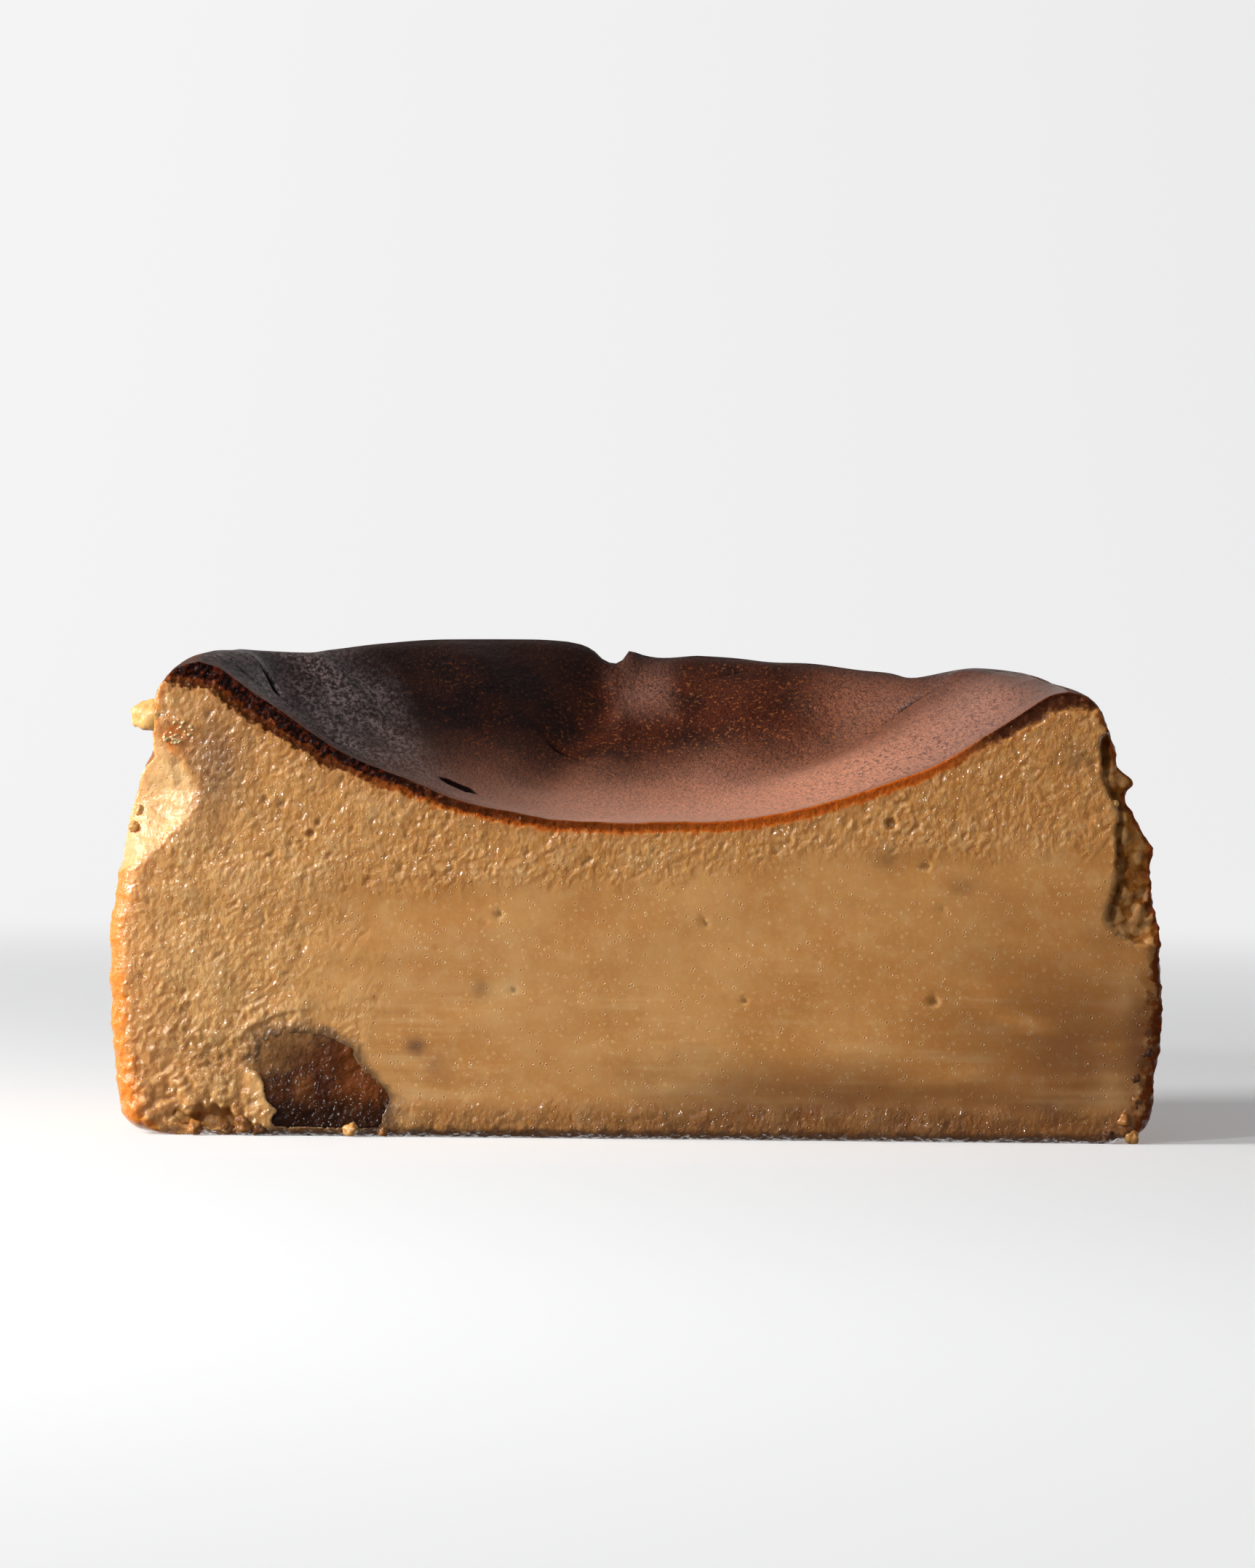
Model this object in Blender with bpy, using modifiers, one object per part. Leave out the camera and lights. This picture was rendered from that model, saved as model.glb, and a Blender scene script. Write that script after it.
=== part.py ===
"""Half of a small burnt cheesecake, cut across its diameter, with candied chestnut in the cut.

The whole cake is a turned profile. Its points are then moved by a few rules: the height of the
rim all round, the folds that the baking paper left in the side, and the sunken top. A knife, a
block with an uneven face, takes the front half away. The face is the cut as it was left: curdled
at the left, torn open at both ends, with a pocket for each piece of chestnut.

Sizes are in millimetres and angles in degrees, and MM turns them into Blender's metres.
X runs along the cut, Y from the cut into the cake and Z up. Round the cake, 0 is the right end
of the cut, 90 is the back and 180 the left end.
"""

import math

import bmesh
import bpy
import numpy as np
from mathutils import Vector, noise

MM = 0.001
NAME = "basque_cheesecake"

# The whole cake.
CREST_R = 62.0  # radius of the rim's crest
CREST_Z = 68.0  # height that the side's profile is drawn at
CENTRE_Z = 45.2  # height of the sunken middle
HALF_DEPTH = 37.1  # from the cut to the middle of the half, where the origin is
TURN_STEPS = 144

# The side from the crest down to the underside: (height, radius).
SIDE = (
    (68.0, 62.0), (67.5, 64.0), (66.2, 66.0), (63.6, 67.4), (60.0, 68.4), (56.0, 69.2),
    (52.0, 70.2), (48.0, 71.3), (44.0, 72.5), (40.0, 73.3), (36.0, 74.0), (32.0, 74.5),
    (28.0, 74.8), (24.0, 75.0), (20.0, 75.0), (16.0, 74.8), (12.0, 74.3), (9.0, 74.0),
    (6.5, 73.8), (4.5, 73.6), (2.8, 72.9), (1.4, 71.6), (0.5, 70.1), (0.0, 68.3),
)  # fmt: skip
# How far the top has risen from its middle to the crest: (share of the crest's radius, rise).
BOWL = (
    (0.0, 0.0), (0.18, 0.02), (0.31, 0.07), (0.43, 0.155), (0.53, 0.26), (0.65, 0.40),
    (0.73, 0.52), (0.81, 0.675), (0.87, 0.79), (0.92, 0.895), (0.96, 0.97), (1.0, 1.0),
)  # fmt: skip
TOP_RING_STEP = 4.0
UNDERSIDE_RING = 40.0
# The height of the rim round the cake: (angle, height).
RIM = (
    (0, 64.5), (12, 65.5), (25, 67.0), (36, 67.5), (47, 66.5), (56, 66.8), (66, 67.9),
    (80, 68.7), (90, 69.1), (98, 70.5), (105, 71.0), (118, 70.9), (128, 70.2), (138, 69.1),
    (145, 68.6), (153, 69.1), (162, 69.4), (171, 68.9), (180, 67.6),
)  # fmt: skip
# How much wider than the profile the rim is: (angle, extra radius).
LEAN = ((0, -1.0), (60, -0.3), (120, 0.3), (180, 0.8))
LEAN_POWER = 2.0
WIDER_FROM = 0.5  # share of the crest's radius where the top begins to widen with the rim

# The folds of the baking paper: angle, half width, depth in the side, depth in the rim and how
# far in towards the middle they run, as a share of the radius.
FOLDS = (
    (17.0, 4.0, 0.9, 0.0, 0.90),
    (49.0, 5.0, 1.8, 0.5, 0.55),
    (71.0, 4.0, 1.0, 0.3, 0.75),
    (93.6, 1.9, 2.6, 2.9, 0.60),
    (117.0, 5.0, 0.9, 0.0, 0.85),
    (143.0, 4.0, 1.9, 0.5, 0.50),
    (163.0, 3.5, 1.0, 0.2, 0.80),
)
FOLD_AT_BASE = 0.35  # share of a fold's depth that is left at the underside
SIDE_LUMPS = (0.35, 9.0)  # height and size of the side's unevenness

# Valleys and swellings of the top, seen from above: height, half width and their line's points.
TOP_LINES = (
    (-2.4, 6.0, ((43.0, 50.0), (38.0, 40.0), (29.5, 36.7), (19.0, 32.0))),
    (-2.6, 4.5, ((-4.3, 64.0), (-4.8, 55.0), (-7.0, 49.0), (-10.5, 40.0), (-14.0, 28.0))),
    (-2.2, 5.0, ((-55.0, 38.0), (-51.5, 25.0), (-46.5, 14.5), (-38.0, 9.0))),
    (2.2, 9.0, ((-27.0, 53.0), (-20.0, 38.0))),
    (1.2, 9.0, ((16.0, 53.0), (12.0, 42.0))),
    (1.4, 6.0, ((50.0, 32.0), (54.0, 16.0))),
)
LINE_ENDS = 0.15  # a line's height follows a sine along it, which starts and stops this early
LINES_FADE_FROM = 0.88  # share of the crest's radius where the lines begin to fade out

# The cut. The knife's face is a grid, and these are its columns: (share, place along X).
KNIFE_COLUMNS = ((-1.0, -78.0), (-0.70, -56.0), (0.70, 58.0), (1.0, 78.0))
KNIFE_GRID = (74, 34)
KNIFE_TOP = 76.0
KNIFE_BOTTOM = -4.0
KNIFE_LENGTH = 90.0
# Unevenness of the cut: depth, size along X, size along Z and which stretch of noise it is.
CURDS = (0.95, 4.2, 5.0, 3.7)
CREAM = (0.16, 14.0, 5.0, 8.1)
CURDS_FROM, CURDS_TO = -32.0, -52.0  # the curds begin and are full here
CRUMBLY_BASE = 7.0  # height of the crumbly layer along the underside
CRUMBLY_SHARE = 0.8  # how rough that layer is beside the curds
# The strip torn off at the right end: (height, where it begins along X), and its depth.
TORN_RIGHT = (
    (27.6, 76.0), (28.8, 72.0), (29.8, 68.8), (33.0, 67.2), (36.6, 68.5), (41.5, 68.4),
    (47.2, 68.5), (49.8, 67.5), (52.0, 66.5), (57.4, 66.0), (58.8, 67.2), (60.5, 74.0),
)  # fmt: skip
TORN_RIGHT_DEPTH = 5.2
TORN_RIGHT_WALL = 1.1
TORN_RIGHT_LUMPS = (0.15, 3.0, 1.7)  # share of the depth, size, stretch of noise
# The bright facet torn off at the left end: its middle, its half sizes and its depth.
TORN_LEFT = (-72.5, 48.0, 8.5, 10.5, 3.6)
# The hollow in the crumbly corner beside the chestnut: middle, half sizes and depth.
HOLLOW = (-60.0, 3.0, 5.5, 2.4, 2.6)

# The flake of crust that stands off the left end: middle and half sizes.
FLAKE_AT = (-69.2, 1.6, 59.5)
FLAKE_SIZE = (3.1, 2.2, 2.3)
FLAKE_LUMPS = (0.3, 0.6)  # share of the size, and how wide they are on a sphere of radius 1

# The large piece of chestnut: middle, depth behind the cut, and its outline (angle, radius).
CHESTNUT_AT = (-44.8, 0.0, 7.6)
CHESTNUT_DEPTH = 9.0
CHESTNUT_FOOT = 1.4  # it is flat below this height, where the cake's base is under it
CHESTNUT_OUTLINE = (
    (-180, 8.7), (-135, 9.3), (-90, 6.7), (-45, 9.8), (-25, 10.2), (-10, 9.3), (0, 8.0),
    (21, 6.2), (65, 6.6), (100, 7.3), (125, 8.8), (150, 10.3), (180, 8.7),
)  # fmt: skip
CHESTNUT_LUMPS = (0.35, 0.39)  # height, and how wide they are on a sphere of radius 1
# The bit of chestnut at the foot of the torn strip: middle and half sizes.
CHESTNUT_BIT_AT = (69.0, 5.4, 31.9)
CHESTNUT_BIT_SIZE = (1.9, 2.3, 2.5)
CHESTNUT_BIT_LUMPS = (0.12, 0.8)
POCKET_GAP = 0.3

MERGE = 0.0001
SHARP_ANGLE = 40.0
CAKE_COLOUR, CAKE_ROUGHNESS = (0.51, 0.27, 0.10), 0.45
CHESTNUT_COLOUR, CHESTNUT_ROUGHNESS = (0.085, 0.045, 0.03), 0.3


def curve(points, at):
    """The height at `at` of a smooth curve through the points, which never overshoots them."""
    xs, ys = np.array(points, float).T
    width = np.diff(xs)
    slope = np.diff(ys) / width
    before, after = slope[:-1], slope[1:]
    same_way = before * after > 0
    total = np.where(same_way, before + after, 1.0)
    inner = np.where(same_way, 2 * before * after / total, 0.0)
    tangent = np.concatenate(([slope[0]], inner, [slope[-1]]))
    at = np.clip(at, xs[0], xs[-1])
    i = np.clip(np.searchsorted(xs, at) - 1, 0, len(width) - 1)
    t = (at - xs[i]) / width[i]
    rise = ys[i] * (1 + 2 * t) * (1 - t) ** 2 + ys[i + 1] * t * t * (3 - 2 * t)
    return rise + width[i] * (tangent[i] * t * (1 - t) ** 2 - tangent[i + 1] * t * t * (1 - t))


def ramp(low, high, value):
    """0 at low, 1 at high and smooth between them."""
    t = np.clip((value - low) / (high - low), 0.0, 1.0)
    return t * t * (3 - 2 * t)


def lumps(size, *place):
    """Smooth unevenness from -1 to 1, with bumps about `size` wide."""
    return noise.noise(Vector([p / size for p in place]))


def off_line(points, x, y):
    """The distance from (x, y) to the line through the points, and how far along it that is."""
    nearest, share = math.inf, 0.0
    for i, (a, b) in enumerate(zip(points, points[1:])):
        along = (b[0] - a[0], b[1] - a[1])
        t = ((x - a[0]) * along[0] + (y - a[1]) * along[1]) / (along[0] ** 2 + along[1] ** 2)
        t = min(max(t, 0.0), 1.0)
        gap = math.hypot(x - a[0] - t * along[0], y - a[1] - t * along[1])
        if gap < nearest:
            nearest, share = gap, (i + t) / (len(points) - 1)
    return nearest, share


def fold(angle, column):
    """How far the folds go in at this angle, by one column of FOLDS: 2 is the side, 3 the rim."""
    return sum(row[column] * math.exp(-(((angle - row[0]) / row[1]) ** 2)) for row in FOLDS)


def rim_z(angle):
    return float(curve(RIM, angle)) - fold(angle, 3)


def wider(angle, level):
    """What the side has more than its profile, at a level from 0 at the base to 1 at the rim."""
    lean = float(curve(LEAN, angle)) * level**LEAN_POWER
    return lean - fold(angle, 2) * (FOLD_AT_BASE + (1 - FOLD_AT_BASE) * level)


def top_z(x, y, share, angle):
    """The height of the top, at a share of the crest's radius."""
    rise = float(curve(BOWL, share))
    height = CENTRE_Z + (float(curve(RIM, angle)) - CENTRE_Z) * rise
    for row in FOLDS:
        reach = float(ramp(row[4], 1.0, share))
        height -= row[3] * reach * math.exp(-(((angle - row[0]) / row[1]) ** 2))
    for rise, width, points in TOP_LINES:
        gap, along = off_line(points, x, y)
        ends = math.sin(math.pi * (LINE_ENDS + (1 - 2 * LINE_ENDS) * along))
        fade = float(ramp(1.0, LINES_FADE_FROM, share))
        height += rise * ends * fade * math.exp(-((gap / width) ** 2))
    return height


def place_on_cake(x, y, z):
    """Moves a point of the turned profile to where it is on the real, uneven cake."""
    r = math.hypot(x, y)
    angle = abs(math.degrees(math.atan2(y, x)))
    if r < CREST_R + 0.01 and z > CREST_Z / 2:
        share = r / CREST_R
        grown = wider(angle, 1.0) * float(ramp(WIDER_FROM, 1.0, share))
        height = top_z(x, y, share, angle)
    else:
        level = z / CREST_Z
        grown = wider(angle, level)
        height = level * rim_z(angle)
        if z > 0:
            grown += SIDE_LUMPS[0] * lumps(SIDE_LUMPS[1], x, y, z)
    grow = 1.0 if r == 0 else (r + grown) / r
    return x * grow, y * grow, height


def cut_y(x, z):
    """How far the face of the cut is set back at (x, z)."""
    curdled = float(ramp(CURDS_FROM, CURDS_TO, x))
    crumbly = float(ramp(CRUMBLY_BASE, CRUMBLY_BASE / 2, z))
    rough = max(curdled, CRUMBLY_SHARE * crumbly)
    back = CURDS[0] * rough * lumps(1.0, x / CURDS[1], z / CURDS[2], CURDS[3])
    back += CREAM[0] * lumps(1.0, x / CREAM[1], z / CREAM[2], CREAM[3])
    torn = float(ramp(-TORN_RIGHT_WALL, TORN_RIGHT_WALL, x - float(curve(TORN_RIGHT, z))))
    uneven, size, stretch = TORN_RIGHT_LUMPS
    back += TORN_RIGHT_DEPTH * torn * (1 + uneven * lumps(1.0, x / size, z / size, stretch))
    for middle_x, middle_z, half_x, half_z, depth in (TORN_LEFT, HOLLOW):
        off = math.hypot((x - middle_x) / half_x, (z - middle_z) / half_z)
        back += depth * float(ramp(1.0, 0.0, off))
    return back


def material(name, colour, roughness):
    made = bpy.data.materials.new(name)
    made.use_nodes = True
    shader = made.node_tree.nodes["Principled BSDF"]
    shader.inputs["Base Color"].default_value = (*colour, 1.0)
    shader.inputs["Roughness"].default_value = roughness
    shader.inputs["Metallic"].default_value = 0.0
    made.diffuse_color = (*colour, 1.0)
    return made


def new_object(name, bm, collection):
    """An object of this mesh, with its millimetres made metres and its origin at the part's."""
    bmesh.ops.triangulate(bm, faces=bm.faces)
    bmesh.ops.recalc_face_normals(bm, faces=bm.faces)
    mesh = bpy.data.meshes.new(name)
    bm.to_mesh(mesh)
    bm.free()
    for vertex in mesh.vertices:
        x, y, z = vertex.co
        vertex.co = (x * MM, (y - HALF_DEPTH) * MM, z * MM)
    made = bpy.data.objects.new(name, mesh)
    collection.objects.link(made)
    return made


def as_cutter(made):
    made.hide_render = True
    made.display_type = "WIRE"
    return made


def turned_cake(collection):
    """The whole cake: its profile turned by a Screw modifier, then every point put in place."""
    top = [(r, CREST_Z - 1.0) for r in np.arange(0.0, CREST_R, TOP_RING_STEP)]
    side = [(r, z) for z, r in SIDE]
    profile = [*top, *side, (UNDERSIDE_RING, 0.0), (0.0, 0.0)]
    mesh = bpy.data.meshes.new("profile")
    edges = [(i, i + 1) for i in range(len(profile) - 1)]
    mesh.from_pydata([(r * MM, 0.0, z * MM) for r, z in profile], edges, [])
    turned = bpy.data.objects.new("profile", mesh)
    collection.objects.link(turned)
    screw = turned.modifiers.new("turn", "SCREW")
    screw.angle = math.tau
    screw.steps = screw.render_steps = TURN_STEPS
    screw.use_merge_vertices = True
    screw.merge_threshold = MERGE
    bm = bmesh.new()
    bm.from_object(turned, bpy.context.evaluated_depsgraph_get())
    bpy.data.objects.remove(turned)
    for vertex in bm.verts:
        vertex.co = place_on_cake(*(vertex.co / MM))
    return new_object("cheesecake", bm, collection)


def knife(collection):
    """A block over the whole front half. Its rear face is the surface of the cut."""
    bm = bmesh.new()
    bmesh.ops.create_grid(bm, x_segments=KNIFE_GRID[0], y_segments=KNIFE_GRID[1], size=1.0)
    shares, places = zip(*KNIFE_COLUMNS)
    for vertex in bm.verts:
        x = float(np.interp(vertex.co.x, shares, places))
        z = KNIFE_BOTTOM + (KNIFE_TOP - KNIFE_BOTTOM) * (vertex.co.y + 1) / 2
        vertex.co = (x, cut_y(x, z), z)
    face = list(bm.faces)
    grown = bmesh.ops.extrude_face_region(bm, geom=face)
    for item in grown["geom"]:
        if isinstance(item, bmesh.types.BMVert):
            item.co.y = -KNIFE_LENGTH
    return as_cutter(new_object("knife", bm, collection))


def lump(name, collection, middle, subdivisions, shape):
    """A closed lump: a sphere whose every direction is sent through `shape`."""
    bm = bmesh.new()
    bmesh.ops.create_icosphere(bm, subdivisions=subdivisions, radius=1.0)
    for vertex in bm.verts:
        vertex.co = Vector(middle) + Vector(shape(*vertex.co))
    return new_object(name, bm, collection)


def chestnut_shape(gap):
    """The large piece's form, grown by a gap when it is the pocket."""

    def shape(x, y, z):
        outline = float(curve(CHESTNUT_OUTLINE, math.degrees(math.atan2(z, x))))
        grown = outline + gap + CHESTNUT_LUMPS[0] * lumps(CHESTNUT_LUMPS[1], x, y, z)
        foot = CHESTNUT_FOOT - gap - CHESTNUT_AT[2]
        return x * grown, y * (CHESTNUT_DEPTH + gap), max(z * grown, foot)

    return shape


def bit_shape(gap):
    """The small bit's form, grown by a gap when it is the pocket."""

    def shape(x, y, z):
        uneven = 1 + CHESTNUT_BIT_LUMPS[0] * lumps(CHESTNUT_BIT_LUMPS[1], x, y, z)
        return tuple(p * (half * uneven + gap) for p, half in zip((x, y, z), CHESTNUT_BIT_SIZE))

    return shape


def flake_shape(x, y, z):
    uneven = 1 + FLAKE_LUMPS[0] * lumps(FLAKE_LUMPS[1], x, y, z)
    return tuple(p * half * uneven for p, half in zip((x, y, z), FLAKE_SIZE))


def cut_away(made, cutter, operation="DIFFERENCE"):
    """Cuts the object by the cutter, or joins them, and keeps the result as its mesh."""
    step = made.modifiers.new(cutter.name, "BOOLEAN")
    step.operation = operation
    step.solver = "EXACT"
    step.object = cutter
    depsgraph = bpy.context.evaluated_depsgraph_get()
    mesh = bpy.data.meshes.new_from_object(made.evaluated_get(depsgraph), depsgraph=depsgraph)
    made.modifiers.remove(step)
    made.data = mesh


def finish(made, finish_material):
    """Welds what the cuts left double, makes triangles and gives the material."""
    bm = bmesh.new()
    bm.from_mesh(made.data)
    bmesh.ops.remove_doubles(bm, verts=bm.verts, dist=MERGE / 2)
    bmesh.ops.dissolve_degenerate(bm, edges=bm.edges, dist=MERGE / 2)
    bmesh.ops.triangulate(bm, faces=bm.faces)
    bm.to_mesh(made.data)
    bm.free()
    made.data.materials.clear()
    made.data.materials.append(finish_material)
    made.data.shade_smooth()
    made.data.set_sharp_from_angle(angle=math.radians(SHARP_ANGLE))


def main():
    for old in list(bpy.data.objects):
        bpy.data.objects.remove(old)
    parts = bpy.data.collections.new(NAME)
    cutters = bpy.data.collections.new("cutters")
    for collection in (parts, cutters):
        bpy.context.scene.collection.children.link(collection)

    blade = knife(cutters)
    pocket = as_cutter(lump("pocket", cutters, CHESTNUT_AT, 3, chestnut_shape(POCKET_GAP)))
    bit_pocket = as_cutter(lump("bit_pocket", cutters, CHESTNUT_BIT_AT, 2, bit_shape(POCKET_GAP)))
    flake = as_cutter(lump("flake", cutters, FLAKE_AT, 2, flake_shape))

    cake = turned_cake(parts)
    cut_away(cake, flake, "UNION")
    for cutter in (blade, pocket, bit_pocket):
        cut_away(cake, cutter)
    finish(cake, material("burnt_custard", CAKE_COLOUR, CAKE_ROUGHNESS))

    chestnut_finish = material("candied_chestnut", CHESTNUT_COLOUR, CHESTNUT_ROUGHNESS)
    chestnut = lump("chestnut", parts, CHESTNUT_AT, 3, chestnut_shape(0.0))
    cut_away(chestnut, blade)
    finish(chestnut, chestnut_finish)
    bit = lump("chestnut_bit", parts, CHESTNUT_BIT_AT, 2, bit_shape(0.0))
    finish(bit, chestnut_finish)


if __name__ == "__main__":
    main()
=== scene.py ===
import math

import bmesh
import bpy
import numpy as np
from mathutils import Matrix, Vector, noise
from mathutils.geometry import delaunay_2d_cdt


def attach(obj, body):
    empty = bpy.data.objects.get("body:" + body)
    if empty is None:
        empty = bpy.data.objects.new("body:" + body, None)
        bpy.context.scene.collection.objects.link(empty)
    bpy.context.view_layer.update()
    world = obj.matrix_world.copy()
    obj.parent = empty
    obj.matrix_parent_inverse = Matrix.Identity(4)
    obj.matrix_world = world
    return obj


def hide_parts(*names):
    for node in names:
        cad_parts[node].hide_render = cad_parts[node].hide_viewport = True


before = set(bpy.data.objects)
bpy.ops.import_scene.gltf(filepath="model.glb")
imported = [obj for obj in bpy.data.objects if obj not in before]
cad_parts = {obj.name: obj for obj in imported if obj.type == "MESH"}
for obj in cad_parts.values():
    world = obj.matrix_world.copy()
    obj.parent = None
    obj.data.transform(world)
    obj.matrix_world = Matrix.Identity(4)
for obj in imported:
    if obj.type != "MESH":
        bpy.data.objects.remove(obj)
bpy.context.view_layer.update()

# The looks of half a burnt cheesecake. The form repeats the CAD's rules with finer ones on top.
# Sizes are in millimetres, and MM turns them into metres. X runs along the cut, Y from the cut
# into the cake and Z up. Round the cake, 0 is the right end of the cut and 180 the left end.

MM = 0.001
BODY = "root"

# ---- The view. The image is 1725 pixels wide and this many high ----
FRAME_H = 2156.0
PIXELS_PER_MM = 9.65  # on the plane of the cut
CAMERA_AWAY = 1000.0  # from the cut
CAMERA_UP = 75.0
CAMERA_RIGHT = -1.55
HORIZON = 844.0
CAMERA_ROLL = 0.58
SENSOR = 36.0

# ---- The form, as in the CAD ----
CREST_R = 62.0
CREST_Z = 68.0
CENTRE_Z = 45.2
HALF_DEPTH = 37.1
SIDE = (
    (68.0, 62.0), (67.5, 64.0), (66.2, 66.0), (63.6, 67.4), (60.0, 68.4), (56.0, 69.2),
    (52.0, 70.2), (48.0, 71.3), (44.0, 72.5), (40.0, 73.3), (36.0, 74.0), (32.0, 74.5),
    (28.0, 74.8), (24.0, 75.0), (20.0, 75.0), (16.0, 74.8), (12.0, 74.3), (9.0, 74.0),
    (6.5, 73.8), (4.5, 73.6), (2.8, 72.9), (1.4, 71.6), (0.5, 70.1), (0.0, 68.3),
)  # fmt: skip
BOWL = (
    (0.0, 0.0), (0.18, 0.02), (0.31, 0.07), (0.43, 0.155), (0.53, 0.26), (0.65, 0.40),
    (0.73, 0.52), (0.81, 0.675), (0.87, 0.79), (0.92, 0.895), (0.96, 0.97), (1.0, 1.0),
)  # fmt: skip
RIM = (
    (0, 64.5), (12, 65.5), (25, 67.0), (36, 67.5), (47, 66.5), (56, 66.8), (66, 67.9),
    (80, 68.7), (90, 69.1), (98, 70.5), (105, 71.0), (118, 70.9), (128, 70.2), (138, 69.2),
    (145, 68.9), (153, 69.1), (162, 69.4), (171, 68.9), (180, 67.6),
)  # fmt: skip
LEAN = ((0, -1.0), (60, -0.3), (120, 0.3), (180, 0.8))
LEAN_POWER = 2.0
WIDER_FROM = 0.5
FOLDS = (
    (17.0, 4.0, 0.9, 0.0, 0.90),
    (47.5, 3.6, 1.8, 0.6, 0.55),
    (71.0, 4.0, 1.0, 0.3, 0.75),
    (93.6, 1.9, 2.6, 0.0, 0.60),
    (117.0, 5.0, 0.9, 0.0, 0.85),
    (143.0, 4.0, 1.9, 0.1, 0.50),
    (163.0, 3.5, 1.0, 0.2, 0.80),
)
FOLD_AT_BASE = 0.35
TOP_LINES = (
    (-2.4, 6.0, ((43.0, 50.0), (38.0, 40.0), (29.5, 36.7), (19.0, 32.0))),
    (-2.6, 4.5, ((-4.3, 64.0), (-4.8, 55.0), (-7.0, 49.0), (-10.5, 40.0), (-14.0, 28.0))),
    (-2.2, 5.0, ((-55.0, 38.0), (-51.5, 25.0), (-46.5, 14.5), (-38.0, 9.0))),
    (2.2, 9.0, ((-27.0, 53.0), (-20.0, 38.0))),
    (1.2, 9.0, ((16.0, 53.0), (12.0, 42.0))),
    (1.4, 6.0, ((50.0, 32.0), (54.0, 16.0))),
)
LINE_ENDS = 0.15
LINES_FADE_FROM = 0.88
CURDS = (0.20, 4.2, 5.0, 3.7)
CREAM = (0.16, 14.0, 5.0, 8.1)
CURDS_FROM, CURDS_TO = -30.0, -54.0
TORN_RIGHT = (
    (27.6, 76.0), (28.8, 72.0), (29.8, 68.8), (33.0, 67.2), (36.6, 68.5), (41.5, 68.4),
    (47.2, 68.5), (49.8, 67.5), (52.0, 66.5), (57.4, 66.0), (58.8, 67.2), (60.5, 74.0),
)  # fmt: skip
# The torn facet at the left: where it starts (height, place along X) and how it falls away.
TORN_LEFT = (
    (36.0, -77.0), (38.4, -71.2), (41.0, -68.6), (43.6, -66.0), (46.2, -63.7), (48.8, -62.4),
    (51.9, -63.7), (54.5, -66.0), (57.5, -69.0), (61.0, -77.0),
)  # fmt: skip
TORN_LEFT_SLOPE, TORN_LEFT_MOST = 0.46, 4.4
HOLLOW = (-60.5, 2.4, 5.4, 1.9, 2.4)
CHESTNUT_AT = (-44.8, 0.0, 7.6)
CHESTNUT_DEPTH = 9.0
CHESTNUT_BACK = 0.75  # the share of the depth that its back reaches
CHESTNUT_FOOT = 1.4
CHESTNUT_OUTLINE = (
    (-180, 8.7), (-135, 9.3), (-90, 6.7), (-45, 9.8), (-25, 10.2), (-10, 9.3), (0, 8.0),
    (21, 6.2), (65, 6.6), (100, 7.3), (125, 8.8), (150, 10.3), (180, 8.7),
)  # fmt: skip
CHESTNUT_BIT_AT = (69.0, 5.4, 31.9)
CHESTNUT_BIT_SIZE = (1.9, 2.3, 2.5)

# ---- What the scene adds to the form ----
# Cracks and creases of the top: depth, half width, how dark their painted shade is and the points, seen from
# above.
CRACKS = (
    (0.9, 0.60, 1.1, ((-57.0, 19.0), (-54.0, 16.2), (-51.8, 12.0), (-48.0, 11.2))),
    (0.50, 0.50, 0.8, ((-48.0, 11.2), (-43.7, 13.0), (-39.4, 14.2))),
    (0.50, 0.40, 0.75, ((33.0, 37.6), (37.0, 39.2), (41.1, 38.9), (45.0, 35.0), (49.5, 31.6))),
    (0.50, 0.60, 0.8, ((-15.5, 42.0), (-12.0, 40.0), (-8.4, 38.5))),
    (0.55, 0.70, 0.7, ((10.5, 55.0), (14.6, 55.9), (18.5, 55.4))),
    (0.35, 0.60, 0.6, ((4.5, 52.4), (8.5, 51.2))),
    (1.80, 1.05, 6.0, ((-28.2, 15.8), (-25.7, 14.5), (-23.8, 13.2))),
    (0.35, 0.40, 0.7, ((-58.5, 9.0), (-55.5, 7.5), (-52.0, 7.5))),
)
# Dents of the top: depth, half width and place.
DENTS = ((0.5, 0.7, -8.4, 38.5), (0.6, 0.45, 37.4, 10.6), (0.35, 1.2, -20.5, 30.0))
# The notch in the rim at the back and the tip beside it: (angle, drop) along the rim, and how
# far in towards the middle it reaches.
NOTCH = (
    (82.0, 0.0), (87.1, 0.55), (90.2, 0.1), (90.9, -0.25), (91.5, -0.1), (92.0, 0.6), (92.5, 1.6),
    (93.0, 2.05), (94.3, 2.2), (95.0, 2.0), (96.4, 0.85), (97.9, 0.25), (99.9, 0.0),
)  # fmt: skip
NOTCH_REACH = 0.80
# Unevenness of the top and of the side: height and size.
TOP_WAVES = ((0.28, 9.0), (0.10, 2.6), (0.045, 1.1))
SIDE_WAVES = ((0.35, 9.0), (0.16, 2.4), (0.07, 1.1))
# Height, size and seed of the waves that the cracks, the zones of the cut and the chestnut have.
CRACK_WANDER = ((0.7, 2.2, 31.0), (0.3, 0.8, 7.0))
ZONE_WANDER = ((1.2, 7.0, 5.0), (0.6, 2.5, 9.0))
CHESTNUT_WAVES = ((0.35, 3.2, 2.0), (0.22, 1.1, 6.0))
# Bulges of the side at the two ends of the cut: (height, half height, angle, half angle, how proud).
BULGES = (
    (63.5, 2.4, 180.0, 6.0, 0.55),
    (45.5, 3.6, 0.0, 9.0, 1.0),
    (54.6, 1.3, 0.0, 7.0, 1.5),
    (54.3, 1.2, 180.0, 4.0, -0.9),
)
# Crumbs along the ends of the cut: height and size, and how far round they reach.
END_CRUMBS = ((0.30, 3.1), (0.24, 1.7), (0.16, 0.85))
END_CRUMBS_REACH = 5.0
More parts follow.
